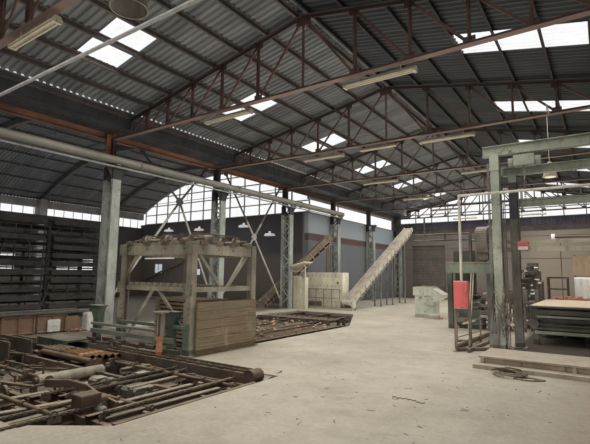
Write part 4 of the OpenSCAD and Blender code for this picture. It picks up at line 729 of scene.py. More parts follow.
X, Y, Z = Vector((1, 0, 0)), Vector((0, 1, 0)), Vector((0, 0, 1))
HALL_D = FAR_Y - NEAR_Y
VAULT_D = VAULT_END - NEAR_Y


# Small solids. Places are metres across from the column row, along from the near end wall's
# inner face, and above the hall floor.
def at(across, along, up):
    return Vector((across, NEAR_Y + along, FLOOR + up))


def turned(r, t, up=0.0):
    """A point on a circle round the upright axis."""
    return Vector((r * math.cos(t), r * math.sin(t), up))


def rim(r, t):
    """A point on a circle round the axis across the hall."""
    return Vector((0, r * math.cos(t), r * math.sin(t)))


def drawn(rng, *limits):
    """Three numbers, each drawn between two limits."""
    return Vector([rng.uniform(a, b) for a, b in limits])


def drift(rng, start, steps, reach, lowest=-math.inf):
    """Points of a hanging or lying hose, each step drawn between two limits on every axis."""
    points = [start]
    for k in range(steps):
        points.append(points[-1] + drawn(rng, *reach))
        points[-1].z = max(points[-1].z, lowest)
    return points


class Piece:
    """Gathers small solids in one mesh that rides on the building."""

    def __init__(self, name):
        self.name = name
        self.bm = bmesh.new()

    def prism(self, a, b, outline, up=Z, outline_b=None):
        """A solid from a to b with an outline across its length, and another at b if one is given."""
        along = (b - a).normalized()
        if abs(along.dot(up)) > 0.99:
            up = Y
        side = along.cross(up).normalized()
        up = side.cross(along)
        rings = []
        for p, shape in ((a, outline), (b, outline_b or outline)):
            rings.append([self.bm.verts.new(p + side * u + up * v) for u, v in shape])
        count = len(outline)
        for k in range(count):
            j = (k + 1) % count
            self.bm.faces.new((rings[0][k], rings[0][j], rings[1][j], rings[1][k]))
        self.bm.faces.new(rings[0][::-1])
        self.bm.faces.new(rings[1])

    def bar(self, a, b, w, h, up=Z):
        """A bar with small chamfers along its edges."""
        c = 0.14 * min(w, h)
        x, y = w / 2, h / 2
        self.prism(a, b, [(c - x, -y), (x - c, -y), (x, c - y), (x, y - c), (x - c, y), (c - x, y),
                          (-x, y - c), (-x, c - y)], up)

    # Bars and rods that stand or lie square, in places across, along and above the floor.
    def post(self, x, d, low, high, w, h, **how):
        self.bar(at(x, d, low), at(x, d, high), w, h, **how)

    def beam(self, x0, x1, d, z, w, h, **how):
        self.bar(at(x0, d, z), at(x1, d, z), w, h, **how)

    def rail(self, x, d0, d1, z, w, h, **how):
        self.bar(at(x, d0, z), at(x, d1, z), w, h, **how)

    def pin(self, x, d, low, high, r, sides=10):
        self.rod(at(x, d, low), at(x, d, high), r, sides)

    def shaft(self, x0, x1, d, z, r, sides=10, r_b=None):
        self.rod(at(x0, d, z), at(x1, d, z), r, sides, r_b)

    def roller(self, x, d0, d1, z, r, sides=10):
        self.rod(at(x, d0, z), at(x, d1, z), r, sides)

    def pad(self, x, d, half_x, half_d, low, high):
        """A block centred on a place."""
        self.box(at(x - half_x, d - half_d, low), at(x + half_x, d + half_d, high))

    def box(self, low, high):
        """A chamfered block from its low to its high corner."""
        mid = (low + high) / 2
        size = high - low
        self.bar(Vector((low.x, mid.y, mid.z)), Vector((high.x, mid.y, mid.z)), size.y, size.z)

    def rod(self, a, b, r, sides=10, r_b=None):
        ring = [(math.cos(t), math.sin(t)) for t in (math.tau * k / sides for k in range(sides))]
        end = r if r_b is None else r_b
        self.prism(a, b, [(r * u, r * v) for u, v in ring], outline_b=[(end * u, end * v) for u, v in ring])

    def angle(self, a, b, size, thick=0.008, up=Z):
        """An angle section, heel at the line from a to b."""
        self.prism(a, b, [(0, 0), (size, 0), (size, thick), (thick, thick), (thick, size), (0, size)], up)

    def wheel(self, centre, axis, r, width, teeth=0):
        """A disc with a hub, toothed where it carries a chain."""
        half = axis.normalized() * width / 2
        if teeth:
            ring = []
            for k in range(2 * teeth):
                t = math.pi * k / teeth
                reach = r if k % 2 else r * 0.86
                ring.append((reach * math.cos(t), reach * math.sin(t)))
            self.prism(centre - half, centre + half, ring)
        else:
            self.rod(centre - half, centre + half, r, 20)
        self.rod(centre - half * 2.4, centre + half * 2.4, r * 0.32, 10)

    def chain(self, a, b, link=0.06, wide=0.034):
        """Roller chain: side plates and rollers."""
        count = max(2, round((b - a).length / link))
        step = (b - a) / count
        along = step.normalized()
        side = along.cross(Z)
        side = side.normalized() if side.length > 0.01 else X
        for k in range(count):
            p = a + step * k
            gap = wide * (0.5 if k % 2 else 0.34)
            for s in (-1, 1):
                self.bar(p + side * gap * s - along * 0.01,
                         p + step + side * gap * s + along * 0.01, 0.005, 0.028)
            self.rod(p - side * wide * 0.55, p + side * wide * 0.55, 0.011, 6)

    def cord(self, points, r, sides):
        """Rods from each point to the next."""
        for a, b in zip(points, points[1:]):
            self.rod(a, b, r, sides)

    def bolt(self, place, axis, r=0.014, tall=0.012):
        self.rod(place - axis * 0.002, place + axis * tall, r, 6, r * 0.9)

    def lump(self, centre, size, rng):
        """An uneven clod or brick bat."""
        made = bmesh.ops.create_icosphere(self.bm, subdivisions=1, radius=size)
        for v in made["verts"]:
            v.co *= rng.uniform(0.65, 1.15)
            v.co.z *= 0.6
            v.co += centre

    def done(self, finish):
        """Makes the object, in a finish or the paint of that name, and ties it to the building."""
        bmesh.ops.recalc_face_normals(self.bm, faces=self.bm.faces[:])
        mesh = bpy.data.meshes.new(self.name)
        self.bm.to_mesh(mesh)
        self.bm.free()
        mesh.materials.append(paint(finish) if isinstance(finish, str) else finish)
        obj = bpy.data.objects.new(self.name, mesh)
        bpy.context.scene.collection.objects.link(obj)
        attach(obj, "root")


# Trusses: the same panel rule as the model's, a first panel and a shrink for each next one.
FIRST_PANEL = 1.31
PANEL_SHRINK = 0.92
PANELS = 5
SLOPE = 0.2
HEEL = 0.36
CHORD_D = 0.08
STEM_T = 0.026


def panel_offset(k):
    return sum(FIRST_PANEL * PANEL_SHRINK ** j for j in range(k))


def chord_top(x):
    return CHORD_Z + HEEL + SLOPE * min(x, SPAN - x)


def truss_rivets():
    """Rivets through the gussets at both ends of every post of the trusses."""
    piece = Piece("truss_rivets")
    low = [(-0.085, 0.0), (-0.045, 0.045), (0.045, 0.045), (0.085, 0.0), (0.0, 0.085)]
    high = [(-0.075, -0.02), (0.075, -0.02), (0.0, -0.08), (0.0, -0.02)]
    reach = Y * (STEM_T / 2 + 0.007)
    for y in TRUSS_Y:
        for side in (-1, 1):
            for k in range(1, PANELS + 1):
                x = RIDGE_X + side * panel_offset(k)
                spots = [(x + u, CHORD_Z + 0.045 + v) for u, v in low]
                spots += [(x + u, chord_top(x) - CHORD_D / 2 + v) for u, v in high]
                for px, pz in spots:
                    centre = Vector((px, y, pz))
                    piece.rod(centre - reach, centre + reach, 0.012, 6)
    piece.done("truss_steel")


def lamp_tubes():
    """Two tubes and their end sockets under every fitting, and one more fitting at the fourth truss."""
    tubes, caps = Piece("lamp_tubes"), Piece("lamp_sockets")
    low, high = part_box("ceiling_lights")
    length = 1.57
    tube_r = 0.013
    for x in (low.x + length / 2, high.x - length / 2):
        for y in TRUSS_Y:
            for s in (-0.045, 0.045):
                a = Vector((x - length / 2 + 0.05, y + s, low.z - 0.02))
                tubes.rod(a, a + X * (length - 0.1), tube_r, 8)
            for e in (-1, 1):
                end = Vector((x + e * (length / 2 - 0.03), y, low.z - 0.018))
                caps.bar(end - X * 0.025, end + X * 0.025, 0.15, 0.05)
    # The fitting that hangs in front of the fourth truss on two straps
    truss = TRUSS_Y[3] - NEAR_Y
    d = truss + 0.12
    chord = CHORD_Z - FLOOR
    z = chord - 0.13
    caps.prism(at(6.23, d, z), at(7.46, d, z), [(-0.085, 0), (0.085, 0), (0.045, 0.07), (-0.045, 0.07)])
    for x in (6.45, 7.24):
        caps.post(x, d, z + 0.06, chord + 0.02, 0.02, 0.02)
        caps.rail(x, d + 0.01, truss, chord + 0.01, 0.03, 0.02)
    tubes.shaft(6.28, 7.41, d, z - 0.02, tube_r, 8)
    tubes.done(glow("tube_glass", (0.66, 0.60, 0.45), 0.02))
    caps.done("lamp_metal")


def bell(piece, foot, r, tall, top):
    """A bell shade of 28 staves with a rolled rim and a socket, hung on a rod from a height."""
    staves = 28
    for k in range(staves):
        t, u = math.tau * k / staves, math.tau * (k + 1) / staves
        for low, high, a, b in ((0.0, tall, r, r * 0.84), (tall, tall + 0.12, r * 0.84, r * 0.4)):
            piece.bar(foot + turned(a, t, low), foot + turned(b, t, high), 0.006, a * (u - t),
                      up=Vector((-math.sin(t), math.cos(t), 0)))
        piece.rod(foot + turned(r, t), foot + turned(r, u), 0.012, 6)
    piece.rod(foot + Z * (tall + 0.1), foot + Z * (tall + 0.26), r * 0.4, 16, r * 0.3)
    hook = Vector((foot.x, foot.y, max(top, foot.z + tall + 0.27)))
    piece.rod(foot + Z * (tall + 0.24), hook, 0.007, 6)


def high_bay_lamps():
    """A deep bell reflector near the second truss and a small lamp over the gantry."""
    deep, small, bulb = Piece("high_bay_lamps"), Piece("gantry_lamp"), Piece("gantry_bulb")
    hanger_x = 6.17
    top = chord_top(hanger_x) + 0.03
    foot = Vector((6.36, TRUSS_Y[1] + 0.8, FLOOR + 5.98))
    bell(deep, foot, 0.30, 0.44, top + 0.03)
    deep.bar(Vector((foot.x + 0.02, foot.y, top + 0.02)),
             Vector((hanger_x - 0.02, foot.y, top + 0.02)), 0.04, 0.03)
    # The deep bell wears the darker lamp metal, as painted shade.
    deep.done("shaded_bell_metal")
    foot = Vector((11.67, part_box("gantry")[1].y + 0.16, FLOOR + 4.03))
    bell(small, foot, 0.15, 0.1, CHORD_Z + 0.03)
    truss = min(TRUSS_Y, key=lambda y: abs(y - foot.y))
    past = 0.03 if foot.y > truss else -0.03
    small.bar(Vector((foot.x, truss, CHORD_Z + 0.02)),
              Vector((foot.x, foot.y + past, CHORD_Z + 0.02)), 0.03, 0.02)
    bulb.rod(foot - Z * 0.01, foot + Z * 0.09, 0.12, 20, 0.06)
    bulb.done(glow("bulb_glass", (0.95, 0.90, 0.78), 0.5))
    small.done("lamp_metal")


def eaves_daylight():
    """Daylight in the hollows of the sheets over their lowest purlin, a row that fades far off."""
    piece = Piece("eaves_daylight")
    wave = BAY / 27
    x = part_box("purlins")[0].x + 0.125
    z = chord_top(x) + 0.122
    y = TRUSS_Y[0] - 4 * wave
    while y < TRUSS_Y[5]:
        tall = 0.04 if y < TRUSS_Y[3] else 0.028
        hollow = [(-0.9 * wave, 0), (-0.42 * wave, 0), (-0.52 * wave, tall), (-0.8 * wave, tall)]
        piece.prism(Vector((x, y, z)), Vector((x + 0.01, y, z)), hollow)
        y += wave
    piece.done(glow("daylight", (0.86, 0.92, 1.0), 0.42))


def far_wall_band():
    """A dark corrugated band, a course and a ribbed strip under the far gable's glazing."""
    sheet, course, strip = Piece("far_wall_band"), Piece("far_wall_courses"), Piece("far_wall_strip")
    x0, x1 = 0.45, SPAN - 0.45
    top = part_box("far_frame")[0].z - 0.02 - FLOOR
    low = top - 0.42
    pitch, deep, thick = 0.176, 0.034, 0.008
    wave = [(pitch * u, v) for u, v in ((0, 0), (0.35, 0), (0.5, deep), (0.85, deep), (1, 0), (1, thick),
                                        (0.86, deep + thick), (0.48, deep + thick),
                                        (0.34, thick), (0, thick))]
    x = x0
    while x + pitch < x1:
        sheet.prism(at(x, HALL_D - 0.012, low), at(x, HALL_D - 0.012, top), wave, up=-Y)
        x += pitch
    sheet.done("band_steel")
    course.beam(x0, x1, HALL_D - 0.02, low - 0.03, 0.05, 0.06)
    strip.box(at(x0, HALL_D - 0.012, low - 0.42), at(x1, HALL_D - 0.004, low - 0.07))
    for k in range(24):
        strip.post(0.6 + 0.56 * k, HALL_D - 0.016, low - 0.42, low - 0.07, 0.03, 0.008)
    for k in range(3):
        strip.beam(x0, x1, HALL_D - 0.005, low - 0.75 - 0.72 * k, 0.008, 0.03)
    strip.done("strip_steel")
    course.done("course_steel")


def window_bars():
    """Thin steel bars that part the windows of the side walls into panes."""
    piece = Piece("window_bars")
    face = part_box("side_glass")[0].x + 0.006
    high_sill, high_head, high_pane = 4.75, 5.35, 0.59
    sill, head, half, pane = 1.75, 2.6, 1.3, 0.433
    for x, end in ((face, VAULT_D), (-face, HALL_D)):
        d = 0.6
        while d < end - 0.3:
            piece.post(x, d, high_sill, high_head, 0.035, 0.03, up=X)
            d += high_pane
        centre = TRUSS_Y[0] + BAY / 2 - NEAR_Y
        while centre + half < end:
            for k in range(-2, 3):
                piece.post(x, centre + pane * k, sill, head, 0.03, 0.03, up=X)
            piece.rail(x, centre - half, centre + half, (sill + head) / 2, 0.03, 0.03)
            centre += BAY
    piece.done("pale_frame")


# How deep the pits' beds lie under the hall floor.
PIT_DEEP = 0.35


def chain_arm(iron):
    """Chains on the chain arm, with sprockets at its ends."""
    for d in (7.33, 7.48):
        iron.chain(at(4.1, d, 0.085), at(7.9, d, 0.085), 0.07, 0.05)
    for x in (4.1, 7.93):
        for d in (7.33, 7.48):
            iron.wheel(at(x, d, 0.02), Y, 0.11, 0.02, teeth=13)
    for k in range(14):
        x = 4.25 + 0.27 * k
        iron.beam(x, x + 0.1, 7.30, 0.075, 0.02, 0.06)
        iron.bolt(at(x + 0.02, 7.258, 0.0), -Y)


def pit_chains(iron):
    """Long chains beside the rails."""
    for x, d0, d1 in ((7.36, 2.9, 5.1), (7.0, 2.9, 5.2), (6.62, 5.1, 7.1),
                      (6.36, 4.9, 7.1), (7.72, 4.9, 7.1)):
        iron.chain(at(x, d0, 0.0), at(x, d1, 0.0), 0.075, 0.05)
        for d in (d0, d1):
            iron.wheel(at(x, d, -0.04), X, 0.075, 0.02, teeth=11)


def cross_shafts(iron, dull, rng):
    """Cross shafts with collars, wheels and bearings."""
    for d, x0, x1, z in ((3.35, 1.4, 7.2, -0.06), (4.55, 5.0, 7.3, -0.02), (5.45, 3.2, 7.9, -0.05),
                         (6.85, 4.8, 8.0, -0.03), (7.05, 1.4, 4.6, -0.08)):
        iron.shaft(x0, x1, d, z, 0.028, 10)
        count = int((x1 - x0) / 0.62)
        for k in range(count + 1):
            x = x0 + 0.06 + k * (x1 - x0 - 0.12) / count
            iron.shaft(x - 0.03, x + 0.03, d, z, 0.05, 10)
            dull.pad(x, d, 0.045, 0.08, z - 0.09, z - 0.02)
            if rng.random() < 0.5:
                iron.wheel(at(x + 0.14, d, z), X, rng.uniform(0.07, 0.12), 0.022, teeth=13)


def push_rods(iron, rng):
    """Sloping links between the rails, on two feet each."""
    for k in range(64):
        x = rng.uniform(1.6, 7.2)
        d = rng.uniform(3.0, 7.0)
        reach = rng.uniform(0.35, 1.0)
        turn = rng.choice((0, 90)) + rng.uniform(-18, 18)
        step = turned(1, math.radians(turn), rng.uniform(-0.12, 0.12))
        a = at(x, d, rng.uniform(-0.22, -0.06))
        end = a + step * reach
        if end.x > 7.3 or end.y > NEAR_Y + 7.4 or end.y < NEAR_Y + 2.7:
            continue
        iron.bar(a, end, rng.uniform(0.03, 0.07), rng.uniform(0.02, 0.05))
        for place in (a, end):
            iron.rod(Vector((place.x, place.y, FLOOR - PIT_DEEP)), place + Z * 0.03, 0.02, 8)


def pit_gearboxes(green, dull):
    """Gearboxes, each with a ribbed motor, on blocks."""
    for x, d, z, s in ((7.05, 5.05, -0.06, 0.62), (6.0, 5.9, -0.1, 0.8), (3.3, 4.2, -0.14, 0.9),
                       (5.5, 3.2, -0.12, 0.8), (4.4, 5.0, -0.12, 0.7), (2.3, 5.6, -0.14, 0.7)):
        green.pad(x, d, 0.13 * s, 0.15 * s, z - 0.13, z + 0.13 * s)
        ribs = [(0.2 + 0.045 * k, 0.222 + 0.045 * k, 0.12) for k in range(9)]
        for start, end, r in [(-0.19, 0.19, 0.09)] + ribs + [(0.19, 0.63, 0.095)]:
            green.shaft(x + start * s, x + end * s, d, z, r * s, 14)
        green.shaft(x + 0.63 * s, x + 0.7 * s, d, z, 0.11 * s, 14, 0.07 * s)
        green.box(at(x + 0.3 * s, d - 0.06 * s, z + 0.08 * s), at(x + 0.46 * s, d + 0.06 * s, z + 0.16 * s))
        dull.box(at(x - 0.16 * s, d - 0.2 * s, -PIT_DEEP), at(x + 0.6 * s, d + 0.2 * s, z - 0.115))


def trough_rollers(brass, iron):
    """Copper-brown rollers at the trough, and dark ones beside them."""
    for k in range(5):
        a = at(3.55 + 0.06 * k, 6.62 + 0.1 * k, 0.035)
        brass.rod(a, a + X * 1.05, 0.045, 16)
        for e in (0.0, 0.99):
            iron.rod(a + X * e, a + X * (e + 0.06), 0.052, 14)
    for k in range(4):
        a = at(2.75, 6.66 + 0.1 * k, 0.02)
        iron.rod(a, a + X * 0.66, 0.045, 14)


def pit_plates(dull, green):
    """Cover plates, leaning sheets, a floor plate and a green box with straps."""
    dull.box(at(1.75, 3.6, -0.33), at(3.35, 5.0, -0.30))
    dull.prism(at(3.75, 3.2, -0.3), at(3.75, 4.4, -0.3),
               [(-0.5, 0), (0.5, 0.02), (0.5, 0.035), (-0.5, 0.015)])
    for x, d, w in ((1.5, 3.2, 0.5), (5.9, 6.6, 0.4), (4.6, 3.9, 0.35)):
        dull.box(at(x, d, -0.08), at(x + w, d + 0.3, -0.06))
    dull.box(at(3.55, 5.95, -0.31), at(5.1, 6.75, -0.28))
    dull.prism(at(7.75, 7.42, -0.12), at(7.75, 7.95, -0.02),
               [(-0.3, 0), (0.3, 0.03), (0.3, 0.05), (-0.3, 0.02)])
    green.box(at(6.2, 5.9, -0.33), at(6.9, 6.3, -0.06))
    for x in (6.25, 6.55, 6.85):
        green.post(x, 5.88, -0.32, -0.05, 0.04, 0.03)


def pit_stands(iron):
    """Pale steel roller, an orange post with a guide on it, a curved arm and a dark tank."""
    pale = Piece("pit_pale_roller")
    pale.roller(5.2, 5.35, 6.45, -0.07, 0.085, 24)
    for d in (5.3, 6.45):
        iron.roller(5.2, d, d + 0.05, -0.07, 0.05, 16)
        iron.post(5.2, d + 0.03, -0.34, -0.05, 0.07, 0.04)
    pale.done("roller_steel")
    orange = Piece("pit_orange_post")
    orange.pin(5.49, 7.44, 0.0, 0.36, 0.062, 14)
    orange.pin(5.49, 7.44, 0.36, 0.43, 0.085, 14)
    orange.done("orange_paint")
    post = Piece("pit_guide_post")
    post.post(5.49, 7.44, 0.43, 0.86, 0.03, 0.14)
    for e in (-0.07, 0.07):
        post.post(5.49 + e, 7.44, 0.43, 0.86, 0.03, 0.09)
    post.box(at(5.36, 7.34, 0.86), at(5.62, 7.54, 0.89))
    for z in (0.55, 0.66, 0.77):
        post.roller(5.44, 7.36, 7.52, z, 0.022, 8)
    post.done("guide_brown")
    arm = [at(5.75, 5.2, 0.0), at(6.15, 5.34, 0.03), at(6.6, 5.34, 0.03),
           at(7.0, 5.26, 0.0), at(7.4, 5.28, -0.06)]
    for a, b in zip(arm, arm[1:]):
        iron.bar(a, b, 0.035, 0.11)
    iron.box(at(6.1, 6.05, -0.34), at(6.95, 6.7, -0.12))


def pit_beams(iron):
    """Pale rail beams that lie over the pit."""
    beams = Piece("pit_pale_beams")
    for x0, d0, x1, d1 in ((6.5, 3.9, 6.78, 5.25), (6.3, 5.3, 6.17, 6.75), (7.3, 5.3, 7.32, 6.6),
                           (7.72, 4.9, 7.8, 6.7), (5.9, 3.6, 6.05, 5.1), (7.05, 4.1, 7.0, 5.1),
                           (5.55, 6.6, 5.6, 7.15), (6.75, 5.9, 6.72, 7.0)):
        a, b = at(x0, d0, -0.05), at(x1, d1, -0.05)
        side = (b - a).cross(Z).normalized()
        beams.bar(a, b, 0.085, 0.02)
        beams.bar(a - Z * 0.075, b - Z * 0.075, 0.07, 0.018)
        beams.bar(a - Z * 0.04, b - Z * 0.04, 0.014, 0.07)
        for k in range(5):
            q = a.lerp(b, 0.1 + 0.2 * k)
            iron.rod(q - Z * 0.3, q - Z * 0.08, 0.022, 8)
            iron.bolt(q + side * 0.02, Z, 0.014)
    beams.box(at(6.9, 3.7, -0.09), at(7.5, 4.1, -0.01))
    beams.done("beam_khaki")


def pit_floor_gear(iron, dull, rng):
    """Low beams, laid plates and hoses over the pit's floor."""
    for k in range(34):
        x = rng.uniform(1.4, 7.2)
        d = rng.uniform(2.9, 7.0)
        long, wide = rng.uniform(0.2, 0.9), rng.uniform(0.05, 0.2)
        if rng.random() < 0.5:
            long, wide = wide, long
        high = min(x + long, 7.75), min(d + wide, 7.25)
        z = rng.uniform(-0.3, -0.09)
        (iron if rng.random() < 0.6 else dull).box(at(x, d, z - 0.05), at(high[0], high[1], z))
        iron.pin(x + 0.03, d + 0.03, -0.34, z, 0.018, 6)
    for k in range(7):
        start = at(rng.uniform(1.8, 6.6), rng.uniform(3.0, 6.6), -0.2)
        hose = drift(rng, start, 9, ((-0.04, 0.14), (-0.1, 0.14), (-0.03, 0.03)), FLOOR - 0.32)
        iron.cord(hose, 0.016, 6)


def pit_machinery():
    """Chains, shafts, wheels, motors and plates that fill the near pit."""
    rng = random.Random(11)
    iron, dull = Piece("pit_ironwork"), Piece("pit_covers")
    green, brass = Piece("pit_gearboxes"), Piece("pit_rollers")
    chain_arm(iron)
    pit_chains(iron)
    cross_shafts(iron, dull, rng)
    push_rods(iron, rng)
    pit_gearboxes(green, dull)
    trough_rollers(brass, iron)
    pit_plates(dull, green)
    pit_stands(iron)
    pit_beams(iron)
    pit_floor_gear(iron, dull, rng)
    iron.done("rail_steel")
    dull.done("cover_plate")
    green.done("gearbox_green")
    brass.done(copper())


def trench_clutter():
    """Rollers, clods of clay and chains along the second pit."""
    rng = random.Random(5)
    iron, clay = Piece("trench_ironwork"), Piece("trench_clods")
    for x in (2.1, 3.4, 4.7):
        iron.chain(at(x, 10.2, 0.0), at(x, 14.6, 0.0), 0.09, 0.05)
    for k in range(28):
        d = 10.25 + 0.16 * k
        iron.shaft(1.6, 5.35, d, -0.06, 0.03, 8)
    for k in range(170):
        x = rng.uniform(1.25, 5.3)
        d = rng.uniform(10.1, 15.3)
        if x > 5.0 and d > 14.3:
            continue
        size = rng.uniform(0.02, 0.075)
        clay.lump(at(x, d, rng.uniform(-0.06, 0.0) + size * 0.3), size, rng)
    for k in range(60):
        x = rng.uniform(1.25, 3.6)
        size = rng.uniform(0.02, 0.06)
        clay.lump(at(x, rng.uniform(16.6, 18.4), -0.33 + size * 0.4), size, rng)
    iron.done("rail_steel")
    clay.done(speckled("dry_clay", 0.95, (9, 6), (0.30, 0.19, 0.13),
                       (0.47, 0.34, 0.25), (60, 6, 0.006, 0.6)))


# The setting machine's frame: its left and right side, its front, its back and its beams' top.
SETTER = 3.55, 5.75, 7.96, 9.82, 2.24


def setter_chains(iron):
    """Shafts with sprockets and chains on the top beams, and bearings along them."""
    x0, x1, d0, d1, top = SETTER
    for d in (d0 + 0.26, d1 - 0.26):
        for x in (x0 + 0.36, x0 + 1.0, x0 + 1.55, x0 + 1.95):
            iron.wheel(at(x, d, top + 0.12), X, 0.135, 0.022, teeth=17)
        iron.shaft(x0 - 0.05, x1 + 0.05, d, top + 0.12, 0.03, 10)
    for x in (x0 + 0.36, x0 + 1.0, x0 + 1.55, x0 + 1.95):
        for z in (top + 0.245, top - 0.005):
            iron.chain(at(x, d0 + 0.26, z), at(x, d1 - 0.26, z), 0.07, 0.04)
    iron.chain(at(x1 - 0.03, d0 - 0.02, 0.25), at(x1 - 0.03, d0 - 0.02, top - 0.1), 0.07, 0.05)
    iron.chain(at(x0 + 0.11, d0 - 0.02, 0.25), at(x0 + 0.11, d0 - 0.02, top - 0.1), 0.07, 0.05)
    for x in (x0 + 0.2, x0 + 0.8, x0 + 1.4, x1 - 0.2):
        iron.box(at(x - 0.1, d0 - 0.09, top - 0.01), at(x + 0.1, d0 + 0.06, top + 0.09))
        iron.roller(x, d0 - 0.11, d0 + 0.1, top + 0.05, 0.045, 12)
        iron.bolt(at(x, d0 - 0.05, top - 0.1), -Y, 0.02)
    for d in (d0 + 0.25, d0 + 0.7, d0 + 1.15, d1 - 0.2):
        iron.box(at(x1 - 0.06, d - 0.1, top - 0.01), at(x1 + 0.09, d + 0.1, top + 0.08))
        iron.bolt(at(x1 + 0.045, d, top - 0.1), X, 0.02)


def setter_plates(iron, green):
    """Bolted plates at the joints of the frame."""
    x0, x1, d0, _, top = SETTER
    for x in (x0, x1):
        for z in (top - 0.1, 1.3):
            green.box(at(x - 0.13, d0 - 0.1, z - 0.12), at(x + 0.13, d0 - 0.085, z + 0.12))
            for u in (-0.09, 0.09):
                for v in (-0.08, 0.0, 0.08):
                    iron.bolt(at(x + u, d0 - 0.1, z + v), -Y, 0.016)


def setter_guides(green):
    """Square brackets on the middle beam, and guides below it."""
    x0, x1, d0 = SETTER[:3]
    for k in range(9):
        x = x0 + 0.25 + 0.21 * k
        green.box(at(x, d0 - 0.06, 1.345), at(x + 0.06, d0 + 0.05, 1.42))
    green.beam(x0, x1, d0 - 0.1, 0.55, 0.03, 0.07)
    green.beam(x0 - 0.95, x1 - 0.3, d0 - 0.16, 0.28, 0.08, 0.1)
    green.shaft(x0 - 0.9, x1 - 0.5, d0 - 0.2, 0.45, 0.035, 12)


def setter_top_gear(iron, green, rng):
    """Caps, levers and small boxes along the top beams."""
    x0, x1, d0, d1, top = SETTER
    for k in range(46):
        x = rng.uniform(x0 - 0.05, x1 + 0.05)
        d = rng.choice((d0 + 0.04, d0 + 0.26, (d0 + d1) / 2, d1 - 0.26, d1 - 0.05))
        d += rng.uniform(-0.08, 0.08)
        size = rng.uniform(0.03, 0.09)
        if rng.random() < 0.5:
            green.pad(x, d, size, size * 0.6, top - 0.01, top + size * 1.4)
        else:
            lean, up = rng.uniform(-0.05, 0.05), rng.uniform(0.1, 0.24)
            iron.rod(at(x, d, top - 0.01), at(x + lean, d, top + up), 0.022, 8)
    for k in range(7):
        a = at(rng.uniform(x0, x0 + 0.8), rng.uniform(d0, d1), top + 0.03)
        green.bar(a, a + drawn(rng, (0.8, 1.4), (-0.25, 0.25), (0.02, 0.14)), 0.045, 0.04)
    for d in (d0 + 0.02, d1 - 0.02):
        green.beam(x0 - 0.1, x1 + 0.1, d, top + 0.02, 0.12, 0.035)


def setter_boards(iron, green, rng):
    """Boards that stand in the machine, and gear on the floor before it."""
    x0, x1, d0 = SETTER[:3]
    boards = Piece("setter_boards")
    for k in range(7):
        z = 0.02 + 0.135 * k
        boards.box(at(x0 + 0.16, d0 + 0.98 + 0.012 * (k % 2), z),
                   at(x1 - 0.5, d0 + 1.02 + 0.012 * (k % 2), z + 0.12))
    for x in (x0 + 0.3, x0 + 1.5):
        boards.box(at(x, d0 + 1.03, 0.0), at(x + 0.05, d0 + 1.09, 0.98))
    boards.done("board_wood")
    for k in range(40):
        x, d = rng.uniform(2.5, 5.4), rng.uniform(7.62, 7.9)
        reach = rng.uniform(0.1, 0.4)
        z = rng.uniform(0.02, 0.12)
        aside = rng.uniform(-0.08, 0.08)
        (iron if k % 3 else green).bar(at(x, d, z), at(x + reach, d + aside, z), 0.03, z * 0.9)
    green.box(at(3.9, 7.64, 0.0), at(5.3, 7.72, 0.07))


def setter_shoes(iron, green):
    """Bolted shoes round the lower ends of the front posts."""
    x0, x1, d0 = SETTER[:3]
    for x in (x0, x1):
        green.box(at(x - 0.095, d0 - 0.1, 0.02), at(x + 0.095, d0 - 0.088, 1.05))
        for k in range(9):
            iron.bolt(at(x + 0.055, d0 - 0.1, 0.12 + 0.1 * k), -Y, 0.017)


def setter_works():
    """Sprockets, chains, pipes and brackets on the setting machine."""
    iron, green = Piece("setter_ironwork"), Piece("setter_shoes")
    rng = random.Random(31)
    setter_chains(iron)
    setter_plates(iron, green)
    setter_guides(green)
    setter_top_gear(iron, green, rng)
    setter_boards(iron, green, rng)
    setter_shoes(iron, green)
    iron.done("rail_steel")
    green.done("setter_shoes")


def belt_trim():
    """Belt, side slots and idler brackets along the two inclined conveyors."""
    belt, idlers = Piece("conveyor_belts"), Piece("conveyor_idlers")
    conveyors = ((at(2.62, VAULT_D - 1.05, 0.33), 90.0, 27.3, 9.0, 0.50, 0.24),
                 (at(-1.18, VAULT_D - 2.78, 0.26), 54.0, 43.0, 4.75, 0.42, 0.30),)
    for foot, turn, rise, length, width, side in conveyors:
        t, r = math.radians(turn), math.radians(rise)
        along = turned(math.cos(r), t, math.sin(r))
        across = Vector((-math.sin(t), math.cos(t), 0))
        right = across if across.x > 0 else -across
        up = along.cross(across)
        up = up if up.z > 0 else -up
        top = foot + up * (side / 2 - 0.06)
        half = width / 2 - 0.05
        belt.prism(top, top + along * length, [(-half, 0), (half, 0), (half, 0.012), (-half, 0.012)], up)
        for k in range(int(length / 0.62)):
            p = foot + along * (0.3 + 0.62 * k)
            for s in (-1, 1):
                q = p + across * s * (width / 2 + 0.012)
                idlers.bar(q - up * (side / 2 + 0.02), q + up * (side / 2 + 0.02), 0.05, 0.02, along)
                idlers.bolt(q + up * 0.05 + across * s * 0.01, across * s, 0.018)
            if length > 6 and k % 2 == 0:
                slot = p + right * (width / 2 + 0.004) - up * (side / 2 + 0.07)
                belt.prism(slot, slot + along * 0.3, [(-0.004, -0.03), (0.004, -0.03),
                                                      (0.004, 0.03), (-0.004, 0.03)], up)
    belt.done("belt_rubber")
    idlers.done("conveyor_steel")


